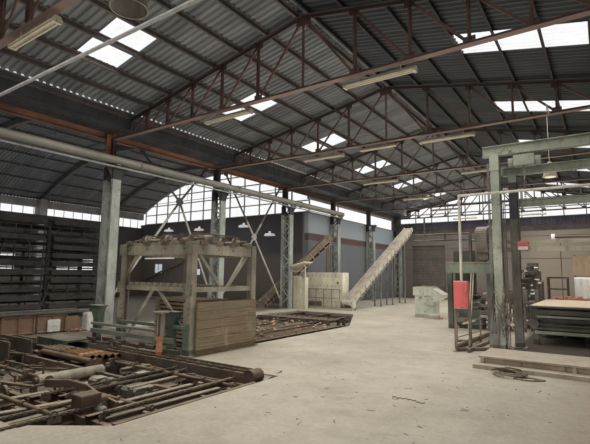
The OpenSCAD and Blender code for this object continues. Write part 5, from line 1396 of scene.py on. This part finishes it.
def brown_panels():
    """Low brown framed panels along the foot of the columns."""
    brown = Piece("low_panels")
    for k in range(5):
        d = 4.2 + 0.85 * k
        brown.box(at(0.34, d, 0.0), at(0.37, d + 0.82, 0.5))
        for z in (0.47, 0.05):
            brown.rail(0.385, d + 0.02, d + 0.8, z, 0.03, 0.05, up=X)
        for e in (0.03, 0.42, 0.79):
            brown.post(0.39, d + e, 0.0, 0.53, 0.04, 0.03)
    brown.box(at(0.44, 8.32, 0.0), at(0.47, 8.72, 0.42))
    brown.box(at(0.47, 8.36, 0.05), at(0.48, 8.68, 0.36))
    brown.done("panel_brown")


def white_boxes():
    """Two switch boxes and a small cabinet with two doors."""
    pale = Piece("pale_boxes")
    for d in (7.86, 8.02):
        pale.box(at(0.42, d, 0.04), at(0.45, d + 0.17, 0.36))
        pale.rail(0.455, d + 0.02, d + 0.15, 0.2, 0.01, 0.02)
    pale.box(at(0.40, 8.84, 0.0), at(0.64, 9.08, 0.5))
    for x in (0.41, 0.525):
        pale.box(at(x, 8.828, 0.04), at(x + 0.105, 8.84, 0.47))
    pale.done("box_white")


def green_boxes():
    """A dark green box and an open trough with rungs at the pit's edge."""
    green = Piece("low_green_boxes")
    green.box(at(1.5, 7.15, -0.34), at(2.7, 7.19, 0.1))
    green.box(at(1.5, 7.19, 0.06), at(2.7, 7.68, 0.1))
    for x in (1.5, 2.08, 2.66):
        green.post(x, 7.13, -0.3, 0.11, 0.05, 0.03)
    for x0, x1, top in ((1.12, 1.17, 0.11), (1.62, 1.67, 0.11), (1.17, 1.62, 0.01)):
        green.box(at(x0, 5.2, -0.02), at(x1, 7.0, top))
    for k in range(8):
        green.beam(1.12, 1.67, 5.3 + 0.22 * k, 0.12, 0.04, 0.02)
    green.done("low_green")


def left_panels():
    """Brown panels with a grey board on them, pale and green boxes and a heap of orange bits."""
    board = Piece("low_board")
    board.box(at(0.2, 5.2, 0.53), at(0.46, 9.0, 0.57))
    board.rail(0.33, 5.2, 8.7, 0.6, 0.06, 0.05)
    board.done("board_grey")
    rng = random.Random(17)
    orange = Piece("orange_heap")
    for k in range(26):
        size = rng.uniform(0.02, 0.05)
        place = at(0.52 + rng.uniform(-0.1, 0.1), 8.66 + rng.uniform(-0.16, 0.16),
                   size * rng.uniform(0.4, 2.0))
        orange.lump(place, size, rng)
    orange.done(fired_brick())
    brown_panels()
    white_boxes()
    green_boxes()


# Along the hall, the front and the back posts of the gantry.
GANTRY_FRONT, GANTRY_BACK = 12.825, 13.43


def gantry_bolts(iron, caps):
    """Bolts up the front posts, and a plate at each one's top."""
    for x in (10.62, 13.7):
        for z in (0.35, 1.3, 2.3, 3.3, 4.1):
            for s in (-0.07, 0.07):
                iron.bolt(at(x + s, GANTRY_FRONT - 0.092, z), -Y, 0.018)
                iron.bolt(at(x + s, GANTRY_FRONT - 0.092, z + 0.1), -Y, 0.018)
        caps.box(at(x - 0.1, GANTRY_FRONT - 0.106, 4.1), at(x + 0.1, GANTRY_FRONT - 0.093, 4.44))


def gantry_hoist(iron):
    """Two trolley wheels and a hook on its chain."""
    for x in (11.02, 11.35):
        iron.wheel(at(x, GANTRY_FRONT, 4.27), X, 0.11, 0.03)
    hook = at(11.235, GANTRY_FRONT, 3.8)
    iron.rod(hook, hook - Z * 0.12, 0.02, 8)
    iron.chain(hook - Z * 0.1, hook - Z * 0.55, 0.05, 0.03)


def gantry_top(caps):
    """Small gear and two rails along the front beam."""
    under_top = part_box("gantry")[1].z - FLOOR - 0.24
    mixed = random.Random(77)
    for k in range(26):
        u, d = mixed.uniform(10.4, 11.3), GANTRY_FRONT + mixed.uniform(-0.07, 0.05)
        size = mixed.uniform(0.02, 0.07)
        if k % 2:
            caps.box(at(u, d - size / 2, under_top), at(u + 2 * size, d + size / 2, under_top + size))
        else:
            lean, up = mixed.uniform(-0.2, 0.2), mixed.uniform(0.04, 0.2)
            caps.rod(at(u, d, under_top), at(u + lean, d, under_top + up), 0.012, 6)
    for d in (GANTRY_FRONT - 0.07, GANTRY_FRONT + 0.07):
        caps.beam(10.4, 14.1, d, under_top + 0.014, 0.02, 0.02)


def small_box(iron, red):
    """Cables lashed along a post, and the small red box with its pale foot on the back one."""
    for k in range(3):
        iron.pin(10.49 - 0.018 * k, GANTRY_FRONT - 0.05, 0.5, 4.3, 0.008, 6)
    red.box(at(10.98, GANTRY_BACK - 0.24, 2.35), at(11.2, GANTRY_BACK - 0.13, 2.45))
    white = Piece("red_box_foot")
    white.box(at(10.985, GANTRY_BACK - 0.235, 2.27), at(11.195, GANTRY_BACK - 0.13, 2.35))
    white.done("box_pale")


def gantry_hoses(iron):
    """Cables and conduits down the posts, with a tangle of hoses and short pipes at the foot."""
    rng = random.Random(41)
    hoses = Piece("gantry_hoses")
    front = GANTRY_FRONT
    for k, (x, top) in enumerate(((10.735, 4.3), (10.76, 3.4), (10.79, 3.9))):
        d = front + 0.03 * k
        hoses.pin(x, d, 0.02, top, 0.011, 8)
        for z in (0.9, 1.9, 2.9):
            hoses.beam(10.7, x + 0.012, d, z, 0.02, 0.02)
    hoses.pin(11.02, GANTRY_BACK - 0.1, 2.5, 3.7, 0.014, 8)
    for k in range(16):
        start = at(10.55 + rng.uniform(-0.12, 0.22), front - 0.11 + rng.uniform(-0.03, 0.02),
                   rng.uniform(0.9, 1.5))
        hoses.cord(drift(rng, start, 7, ((-0.07, 0.07), (-0.03, 0.03), (-0.04, -0.16))), 0.009, 6)
    hoses.done("hose_rubber")
    for k in range(9):
        x = 10.40 + 0.022 * k
        iron.rod(at(x, front - 0.15 - 0.02 * (k % 3), 0.0),
                 at(x + 0.02, front - 0.12, 0.62 + 0.05 * (k * 7 % 5)), 0.016, 8)
    iron.box(at(10.42, front - 0.2, 0.0), at(10.58, front - 0.11, 0.36))


def guard_rail():
    """Low rails on short posts along the aisle, and the kerb beams on the floor."""
    rail = Piece("guard_rail")
    for x, d, up in ((9.84, 11.93, 0.66), (9.95, 13.75, 0.6), (10.07, 12.1, 0.3)):
        rail.angle(at(x, d, 0.0), at(x, d, up), 0.04, 0.006, up=X)
        rail.box(at(x - 0.04, d - 0.04, 0.0), at(x + 0.06, d + 0.05, 0.015))
    for x0, d0, z0, x1, d1, z1, wide, high in ((9.85, 11.93, 0.64, 9.96, 13.75, 0.58, 0.035, 0.02),
                                               (9.85, 11.93, 0.3, 9.96, 13.75, 0.28, 0.03, 0.02),
                                               (9.86, 11.93, 0.1, 9.98, 16.0, 0.1, 0.06, 0.13),
                                               (10.1, 11.95, 0.045, 10.22, 15.4, 0.045, 0.06, 0.08),
                                               (9.86, 12.0, 0.04, 10.45, 12.6, 0.04, 0.07, 0.07)):
        rail.bar(at(x0, d0, z0), at(x1, d1, z1), wide, high)
    rail.done("guard_brown")


def big_box(iron, red):
    """The red box on the service post, with its lid and latch."""
    red.box(at(9.674, 12.49, 0.894), at(9.986, 12.686, 1.53))
    red.box(at(9.70, 12.478, 0.93), at(9.96, 12.492, 1.49))
    iron.box(at(9.93, 12.468, 1.18), at(9.945, 12.48, 1.28))


def gantry_trim():
    """Bolted plates, hoist parts, red boxes, cables and rails at the gantry."""
    iron, red, caps = Piece("gantry_ironwork"), Piece("red_boxes"), Piece("gantry_caps")
    gantry_bolts(iron, caps)
    gantry_hoist(iron)
    gantry_top(caps)
    caps.done("gantry_steel")
    small_box(iron, red)
    gantry_hoses(iron)
    guard_rail()
    big_box(iron, red)
    iron.done("gantry_iron")
    red.done("box_red")


# The press table: its left side, its near and far ends along the hall, and its top over the floor.
TABLE_X = SPAN - 3.38
TABLE_D0, TABLE_D1 = 14.275, 19.375
TABLE_Z = 0.93


def table_load(board, bricks, rng):
    """Three boards on the table, with stacked and broken bricks behind them."""
    x0, d0, z = TABLE_X, TABLE_D0, TABLE_Z
    for inset, start, end, thick in ((0.02, 0.03, 1.28, 0.016), (0.03, 1.30, 2.55, 0.014),
                                     (0.02, 2.57, 3.7, 0.015)):
        board.box(at(x0 + inset, d0 + start, z), at(x0 + 2.95 - inset, d0 + end, z + thick))
    for k in range(19):
        x = x0 + 0.15 + 0.145 * k
        for row in range(5):
            if rng.random() < 0.75:
                a = at(x, d0 + 3.85 + 0.2 * row + rng.uniform(0, 0.04), z)
                bricks.box(a, a + Vector((0.125, 0.16, rng.choice((0.06, 0.065, 0.125)))))
    for k in range(150):
        size = rng.uniform(0.012, 0.035)
        bricks.lump(at(x0 + rng.uniform(0.1, 2.8), d0 + rng.uniform(3.5, 5.0), z + size * 0.4), size, rng)
    # A heap of broken bricks in front of the stacks
    heap = random.Random(31)
    for k in range(46):
        size = heap.uniform(0.03, 0.07)
        place = at(x0 + heap.uniform(0.95, 2.8), d0 + heap.uniform(3.5, 4.3),
                   z + size * heap.uniform(0.4, 1.3))
        bricks.lump(place, size, heap)


def table_end(iron, pale, screen):
    """Frames, a pale cabinet, a wooden screen and a roller on the far end of the table."""
    x0, d1, z = TABLE_X, TABLE_D1, TABLE_Z
    frames = (d1 - 1.2, d1 - 0.75)
    for x in (x0 + 0.08, x0 + 0.62):
        for d in frames:
            iron.post(x, d, z, z + 0.72, 0.045, 0.045)
    for d in frames:
        for up in (0.34, 0.7):
            iron.beam(x0 + 0.06, x0 + 0.64, d, z + up, 0.04, 0.05)
    pale.box(at(x0 + 0.78, d1 - 0.6, z), at(x0 + 1.5, d1 - 0.15, z + 0.72))
    for x in (x0 + 0.80, x0 + 1.15):
        pale.box(at(x, d1 - 0.612, z + 0.04), at(x + 0.33, d1 - 0.6, z + 0.68))
    for k in range(8):
        x = x0 + 0.74 + 0.11 * k
        screen.box(at(x, d1 - 0.13, z + 0.78), at(x + 0.105, d1 - 0.11, z + 1.42))
    for x in (x0 + 0.8, x0 + 1.55):
        iron.post(x, d1 - 0.09, z, z + 1.45, 0.05, 0.05)
    d, high = d1 - 1.45, 2.9
    iron.shaft(x0 + 0.36, x0 + 2.9, d, high, 0.035, 12)
    for x in (x0 + 0.5, x0 + 2.2):
        iron.post(x, d, z, high, 0.022, 0.022)
    pale.shaft(x0 + 0.27, x0 + 0.37, d, high, 0.11, 20)
    iron.shaft(x0 + 0.25, x0 + 0.28, d, high, 0.045, 14)


def bed_gear(iron, pale, rng):
    """Small gear crowded on the machines between the posts."""
    for k in range(150):
        x, d = rng.uniform(TABLE_X - 0.92, TABLE_X - 0.06), rng.uniform(17.35, 18.9)
        size = drawn(rng, (0.05, 0.34), (0.05, 0.2), (0.02, 0.12))
        up = rng.uniform(0.25, 1.95) if x > TABLE_X - 0.72 else rng.uniform(0.25, 1.3)
        a = at(x, min(d, 18.62), up)
        if a.x + size.x > SPAN - 3.42:
            continue
        if rng.random() < 0.6:
            iron.box(a, a + size)
        else:
            pale.rod(a, a + X * size.x, 0.022, 8)
    for k in range(10):
        x = TABLE_X - 0.88 + 0.085 * k
        iron.post(x, 17.6 + 0.1 * (k % 4), 0.0, 1.0 + 0.14 * ((k * 5) % 6), 0.035, 0.035)


def platform_boards():
    """Boards along the platform's near side."""
    slab_low, slab_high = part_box("press_table")[0].x + 0.06, SPAN - 0.35
    wood = Piece("platform_boards")
    for k in range(5):
        a = slab_low + (slab_high - slab_low) * k / 5
        wood.box(at(a, 10.97, 0.005), at(a + (slab_high - slab_low) / 5 - 0.012, 10.99, 0.092))
    wood.done("platform_wood")


def table_plates():
    """Dark plates that close the space under the table."""
    plates = Piece("table_plates")
    for k in range(6):
        a = TABLE_X + 0.12 + 0.46 * k
        plates.box(at(a, TABLE_D0 + 1.5, 0.02), at(a + 0.44, TABLE_D0 + 1.515, 0.83))
        plates.post(a, TABLE_D0 + 1.49, 0.02, 0.84, 0.04, 0.03)
    plates.done("plate_dark")


def table_edge(iron):
    """Chain, wheels, rails and rollers under the table's near edge."""
    for x in (TABLE_X + 0.08, TABLE_X + 2.83):
        iron.wheel(at(x, TABLE_D0, 0.5), Y, 0.12, 0.03, teeth=17)
    iron.chain(at(TABLE_X + 0.08, TABLE_D0, 0.39), at(TABLE_X + 2.83, TABLE_D0, 0.39), 0.08, 0.04)
    grey = Piece("press_rails")
    grey.beam(TABLE_X + 0.16, TABLE_X + 2.9, TABLE_D0 - 0.01, 0.68, 0.03, 0.05)
    grey.beam(TABLE_X + 0.1, TABLE_X + 2.95, TABLE_D0 - 0.02, 0.3, 0.05, 0.07)
    grey.done("rail_green")
    for k in range(6):
        x = TABLE_X + 0.28 + 0.45 * k
        iron.roller(x, TABLE_D0 + 0.1, TABLE_D0 + 1.3, 0.22, 0.03, 8)


def press_clutter():
    """Boards and bricks on the table, the plant behind it, and chains and shafts beneath."""
    rng = random.Random(8)
    board, iron, bricks = Piece("table_board"), Piece("press_ironwork"), Piece("table_bricks")
    pale, screen = Piece("press_cabinet"), Piece("press_screen")
    table_load(board, bricks, rng)
    table_end(iron, pale, screen)
    bed_gear(iron, pale, rng)
    platform_boards()
    table_plates()
    table_edge(iron)
    board.done(light_board())
    screen.done("screen_wood")
    press_works(rng)
    iron.done("press_iron")
    bricks.done(fired_brick())
    pale.done("press_cabinet")


def drum_belt(pale, gear):
    """A pale belt round the right side of the drum wheel, ragged covers on it, and a ladder."""
    centre = at(0, 16.575, 2.78)
    for k in range(14):
        a, b = math.radians(14 * k - 80), math.radians(14 * k - 66)
        for x in (9.70, 9.78):
            pale.bar(centre + X * x + rim(0.42, a), centre + X * x + rim(0.42, b), 0.05, 0.02, up=X)
    for k in range(16):
        t = math.radians(100 + 12 * k)
        p = centre + X * 9.36 + rim(0.405, t)
        gear.bar(p, p + X * 0.34, 0.07, 0.02, up=rim(1, t))
    for s in (0.0, 0.06):
        pale.bar(at(9.06 + s, 16.295, 0.0), at(9.2 + s, 16.34 + s / 2, 1.9), 0.03, 0.03)


def bed_works(pale, gear, rng):
    """Gear in front of and below the press's bed."""
    for k in range(120):
        x, d = rng.uniform(8.5, 10.3), rng.uniform(16.5, 17.3)
        size = drawn(rng, (0.04, 0.3), (0.04, 0.2), (0.02, 0.12))
        a = at(x, d, rng.uniform(0.05, 1.05))
        if a.x + size.x > 10.85:
            continue
        (pale if rng.random() < 0.25 else gear).box(a, a + size)
    for k in range(26):
        a = at(*drawn(rng, (8.5, 10.2), (16.4, 17.2), (0.2, 1.2)))
        turn = rng.uniform(0, math.tau)
        b = a + Vector((0.4 * math.cos(turn), 0.15 * math.sin(turn), rng.uniform(-0.15, 0.15)))
        (pale if k % 3 == 0 else gear).rod(a, b, rng.uniform(0.015, 0.04), 10)
    for k in range(12):
        gear.bolt(at(8.45 + 0.12 * k, 16.31, 1.76), -Y, 0.02)
    gear.beam(8.44, 9.8, 16.29, 2.06, 0.03, 0.05)


def press_works(rng):
    """Belt, ladder and crowded gear on the old press."""
    pale, gear = Piece("press_belt"), Piece("press_gear")
    drum_belt(pale, gear)
    bed_works(pale, gear, rng)
    pale.done("belt_pale")
    gear.done("press_gear")


def rack_trays():
    """Laths, trays, ledges and leaning bars on the drying racks."""
    rng = random.Random(3)
    laths = Piece("rack_laths")
    x0, d0, bay, step = -5.3, 3.0, 2.2, 0.29
    for b in range(4):
        d = d0 + b * bay
        for k in range(1, 12):
            z = k * step + 0.055
            for n in range(rng.randint(5, 9)):
                a = at(x0 + rng.uniform(0.15, 2.0), d + rng.uniform(0.1, 0.5), z + 0.03)
                b = a + Vector((rng.uniform(-0.05, 0.05), rng.uniform(1.2, 1.6), 0.0))
                laths.bar(a, b, 0.09, 0.035)
            if rng.random() < 0.6:
                laths.box(at(x0 + 1.9, d + 0.1, z + 0.02), at(x0 + 2.12, d + 2.0, z + 0.19))
    for k in range(19):
        a = at(x0 + 1.92, d0 + 0.35 + 0.47 * k, 0.0)
        high = 0.4 + step * (k % 7)
        laths.bar(a, a + Z * 3.4, 0.04, 0.04)
        laths.bar(a + Vector((0.03, 0.1, high)), a + Vector((0.03, 1.3, high)), 0.03, 0.05)
    for k in range(22):
        laths.rail(x0 + 1.93, d0 + 0.1, d0 + 8.8, 0.15 + 0.145 * k, 0.02, 0.025)
    for k in range(5):
        a = at(x0 + 2.1, d0 + 0.6 + 1.9 * k, 0.0)
        laths.bar(a, a + Vector((-0.16, 0.9, 2.9)), 0.05, 0.05)
    laths.done("rack_steel")


def floor_crumbs(crumbs, rng):
    """Crumbs of clay all over the floor, outside the pits."""
    for k in range(520):
        x = rng.uniform(5.9, 13.8)
        d = rng.uniform(2.0, 24.0)
        if x < 8.4 and d < 8.0 or x < 6.1 and 7.6 < d < 19:
            continue
        size = rng.choice((0.005, 0.007, 0.009, 0.013))
        crumbs.lump(at(x, d, size * 0.3), size, rng)


def loose_straws(straws, rng):
    for k in range(70):
        a = at(rng.uniform(8.6, 13.4), rng.uniform(2.6, 9.5), 0.004)
        turn = rng.uniform(0, math.pi)
        straws.bar(a, a + turned(1, turn) * rng.uniform(0.03, 0.12), 0.005, 0.004)


def loose_cords(straws, rng):
    """A frayed rope end, a loop of wire and a coil beside it."""
    rope = [at(10.14, 7.63, 0.006)]
    for k in range(24):
        rope.append(rope[-1] + Vector((0.019, 0.026 * math.sin(1.7 * k) + rng.uniform(-0.03, 0.03), 0)))
    straws.cord(rope, 0.005, 6)
    bow = [math.sin(math.pi * k / 11) for k in range(12)]
    loop = [at(11.3 + 0.04 * k, 9.86 - 0.11 * bow[k] + 0.008 * k, 0.012) for k in range(12)]
    loop += [at(11.74 - 0.04 * k, 9.95 + 0.06 * bow[k], 0.012) for k in range(12)]
    straws.cord(loop, 0.012, 6)
    coil = at(11.2, 10.06, 0.02)
    for k in range(66):
        r = 0.2 + 0.014 * (k % 7)
        straws.rod(coil + turned(r, 0.33 * k, 0.001 * k),
                   coil + turned(r, 0.33 * (k + 1), 0.001 * k), 0.011, 6)


def dust_heap(crumbs, rng):
    """A heap of clay dust in the far pit."""
    heap = at(4.35, 13.0, -0.2)
    for k in range(180):
        r = abs(rng.gauss(0, 0.33))
        t = rng.uniform(0, math.tau)
        size = rng.uniform(0.01, 0.035)
        crumbs.lump(heap + Vector((r * math.cos(t), 1.6 * r * math.sin(t), size * 0.3)), size, rng)


def floor_litter():
    """Crumbs of clay, straws, loose cords and a dust heap."""
    rng = random.Random(21)
    crumbs, straws = Piece("floor_crumbs"), Piece("floor_straws")
    floor_crumbs(crumbs, rng)
    loose_straws(straws, rng)
    loose_cords(straws, rng)
    dust_heap(crumbs, rng)
    crumbs.done(speckled("crumbs", 0.95, (9, 5), (0.17, 0.135, 0.10), (0.36, 0.31, 0.245)))
    straws.done(speckled("straw", 0.9, (20, 3), (0.10, 0.08, 0.06), (0.30, 0.25, 0.17)))


def wall_struts():
    """Orange uprights on the columns' upper shafts, beside the valley beam."""
    piece = Piece("wall_struts")
    beam_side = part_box("valley_beam")[1].x
    for i, low, high in ((2, 5.16, 6.1), (3, 5.3, 5.9), (4, 5.32, 5.75), (5, 5.32, 5.75)):
        y = TRUSS_Y[i] - 0.03
        foot = Vector((beam_side + 0.035, y, FLOOR + low))
        piece.angle(foot, foot + Z * (high - low), 0.1 if i == 2 else 0.07, 0.012, up=X)
        if i == 2:
            piece.box(foot - Y * 0.2, foot + Vector((0.014, 0.0, 0.82)))
            piece.box(foot - Y * 0.36, foot + Vector((0.014, -0.2, 0.24)))
        for k in range(3):
            piece.bolt(foot + Z * (0.08 + 0.1 * k) - Y * 0.035, -Y, 0.012)
    for i in (4, 5):
        y = TRUSS_Y[i] + 0.45
        piece.bar(Vector((beam_side + 0.03, y, FLOOR + 5.34)),
                  Vector((beam_side + 0.03, y, FLOOR + 5.72)), 0.06, 0.04)
    piece.done("strut_orange")


def bench_hose():
    """A short red hose on the floor beside the bench machines."""
    red = Piece("bench_hose")
    hose = [Vector((7.15, 2.06, FLOOR + 0.03))]
    for k in range(12):
        hose.append(hose[-1] + Vector((0.03, 0.03 * math.sin(1.3 * k), 0.02 * math.cos(1.9 * k))))
        hose[-1].z = max(hose[-1].z, FLOOR + 0.02)
    red.cord(hose, 0.02, 8)
    red.done("hose_red")


def cabinet_vents(face):
    """Vent slats, hinges and a plate on the cabinet's face."""
    dark = Piece("cabinet_vents")
    for k in range(5):
        dark.beam(0.15, 1.05, face - 0.012, 0.12 + 0.045 * k, 0.012, 0.03)
    for k in range(12):
        for up in (0.3, 1.05, 1.55):
            dark.post(-0.42 + 0.225 * k, face - 0.006, up, up + 0.07, 0.02, 0.02)
    dark.box(at(1.9, face - 0.02, 1.2), at(2.0, face, 1.28))
    dark.done("vent_dark")


def cabinet_rail(face):
    """A rail on posts in front of the cabinet."""
    rail = Piece("cabinet_rail")
    for up in (0.93, 0.5):
        rail.shaft(0.35, 2.12, face - 0.14, up, 0.018, 8)
    for k in range(5):
        x = 0.35 + 0.44 * k
        rail.pin(x, face - 0.14, 0.0, 0.93, 0.018, 8)
        rail.rail(x, face - 0.14, face + 0.02, 0.9, 0.03, 0.02)
    rail.done("rail_grey")


def bench_clutter():
    """Small things on the tops and the front of the bench machines."""
    rng = random.Random(55)
    clutter = Piece("bench_clutter")
    for k in range(70):
        size = drawn(rng, (0.04, 0.2), (0.04, 0.2), (0.01, 0.05))
        if k % 2:
            a = Vector((rng.uniform(6.3, 6.9), rng.uniform(2.5, 3.1), FLOOR + 1.185))
        else:
            a = Vector((rng.uniform(7.45, 8.1), rng.uniform(3.75, 4.3), FLOOR + 0.955))
        clutter.box(a, a + size)
    for k in range(9):
        a = Vector((rng.uniform(6.35, 7.0), 2.42, FLOOR + rng.uniform(0.2, 1.1)))
        clutter.bar(a, a + X * rng.uniform(0.04, 0.12), 0.015, 0.03)
    clutter.done("bench_brown")


def cabinet_trim():
    """Vents and a rail at the cabinet, and small things at the bench machines."""
    face = VAULT_D - 0.8
    bench_hose()
    cabinet_vents(face)
    cabinet_rail(face)
    bench_clutter()


def wall_fittings():
    """Panes that glow with painted daylight, a strip lamp, a sloping pipe and round lamps on the wall at
    the vaulted nave's end.
    """
    pane, lamp, pipe = Piece("wall_pane"), Piece("wall_lamps"), Piece("wall_pipes")
    wall = VAULT_D
    for x0, x1, low, high in ((-12.85, -12.15, 1.6, 2.2), (-8.9, -8.45, 1.52, 1.88)):
        pane.box(at(x0, wall - 0.02, low), at(x1, wall - 0.004, high))
    pipe.beam(-12.9, -12.1, wall - 0.025, 1.56, 0.05, 0.05)
    pipe.post(-12.5, wall - 0.025, 1.56, 2.24, 0.03, 0.03)
    lamp.shaft(-13.9, -10.9, wall - 0.08, 2.6, 0.045, 12)
    for k in range(6):
        pipe.post(-13.8 + 0.56 * k, wall - 0.05, 2.52, 2.66, 0.05, 0.1)
    # The sloping pipe, with a clip and a strut every 0.55 m
    x0, x1, z0, z1 = -13.9, -9.9, 1.15, 2.34
    pipe.rod(at(x0, wall - 0.12, z0), at(x1, wall - 0.12, z1), 0.06, 12)
    for k in range(8):
        x = x0 + 0.1 + 0.55 * k
        z = z0 + (x - x0) * (z1 - z0) / (x1 - x0)
        pipe.post(x, wall - 0.06, z, z + 0.1, 0.04, 0.12)
        pipe.post(x, wall - 0.12, z, z - 0.5, 0.03, 0.03)
    for x, z in ((-11.4, 4.44), (-8.5, 4.37), (-4.75, 4.4), (-2.8, 3.82)):
        centre = at(x, wall - 0.16, z)
        lamp.rod(centre - Z * 0.05, centre + Z * 0.07, 0.33, 20, 0.26)
        lamp.rod(centre + Z * 0.07, centre + Z * 0.2, 0.07, 12)
        pipe.rail(x, wall - 0.16, wall - 0.001, z + 0.17, 0.04, 0.04)
    # The panes glow as painted daylight.
    pane.done(glow("pane_daylight_glow", (0.70, 0.76, 0.84), 0.4))
    lamp.done(glow("lamp_shade", (0.86, 0.84, 0.78), 0.35))
    pipe.done("wall_pipe")


def add_ground():
    half = 60.0
    mesh = bpy.data.meshes.new("ground")
    corners = [(-half, -half, 0), (half, -half, 0), (half, half, 0), (-half, half, 0)]
    mesh.from_pydata(corners, [], [(0, 1, 2, 3)])
    ground = bpy.data.objects.new("ground", mesh)
    ground.location.z = -0.002
    bpy.context.scene.collection.objects.link(ground)
    mesh.materials.append(speckled("ground", 0.9, (0.4, 3), (0.56, 0.56, 0.55), (0.62, 0.62, 0.61)))


add_camera()
add_world()
add_lights()
dress_cad()
truss_rivets()
lamp_tubes()
high_bay_lamps()
eaves_daylight()
far_wall_band()
window_bars()
pit_machinery()
trench_clutter()
setter_works()
belt_trim()
left_panels()
gantry_trim()
press_clutter()
rack_trays()
floor_litter()
wall_struts()
wall_fittings()
cabinet_trim()
add_ground()
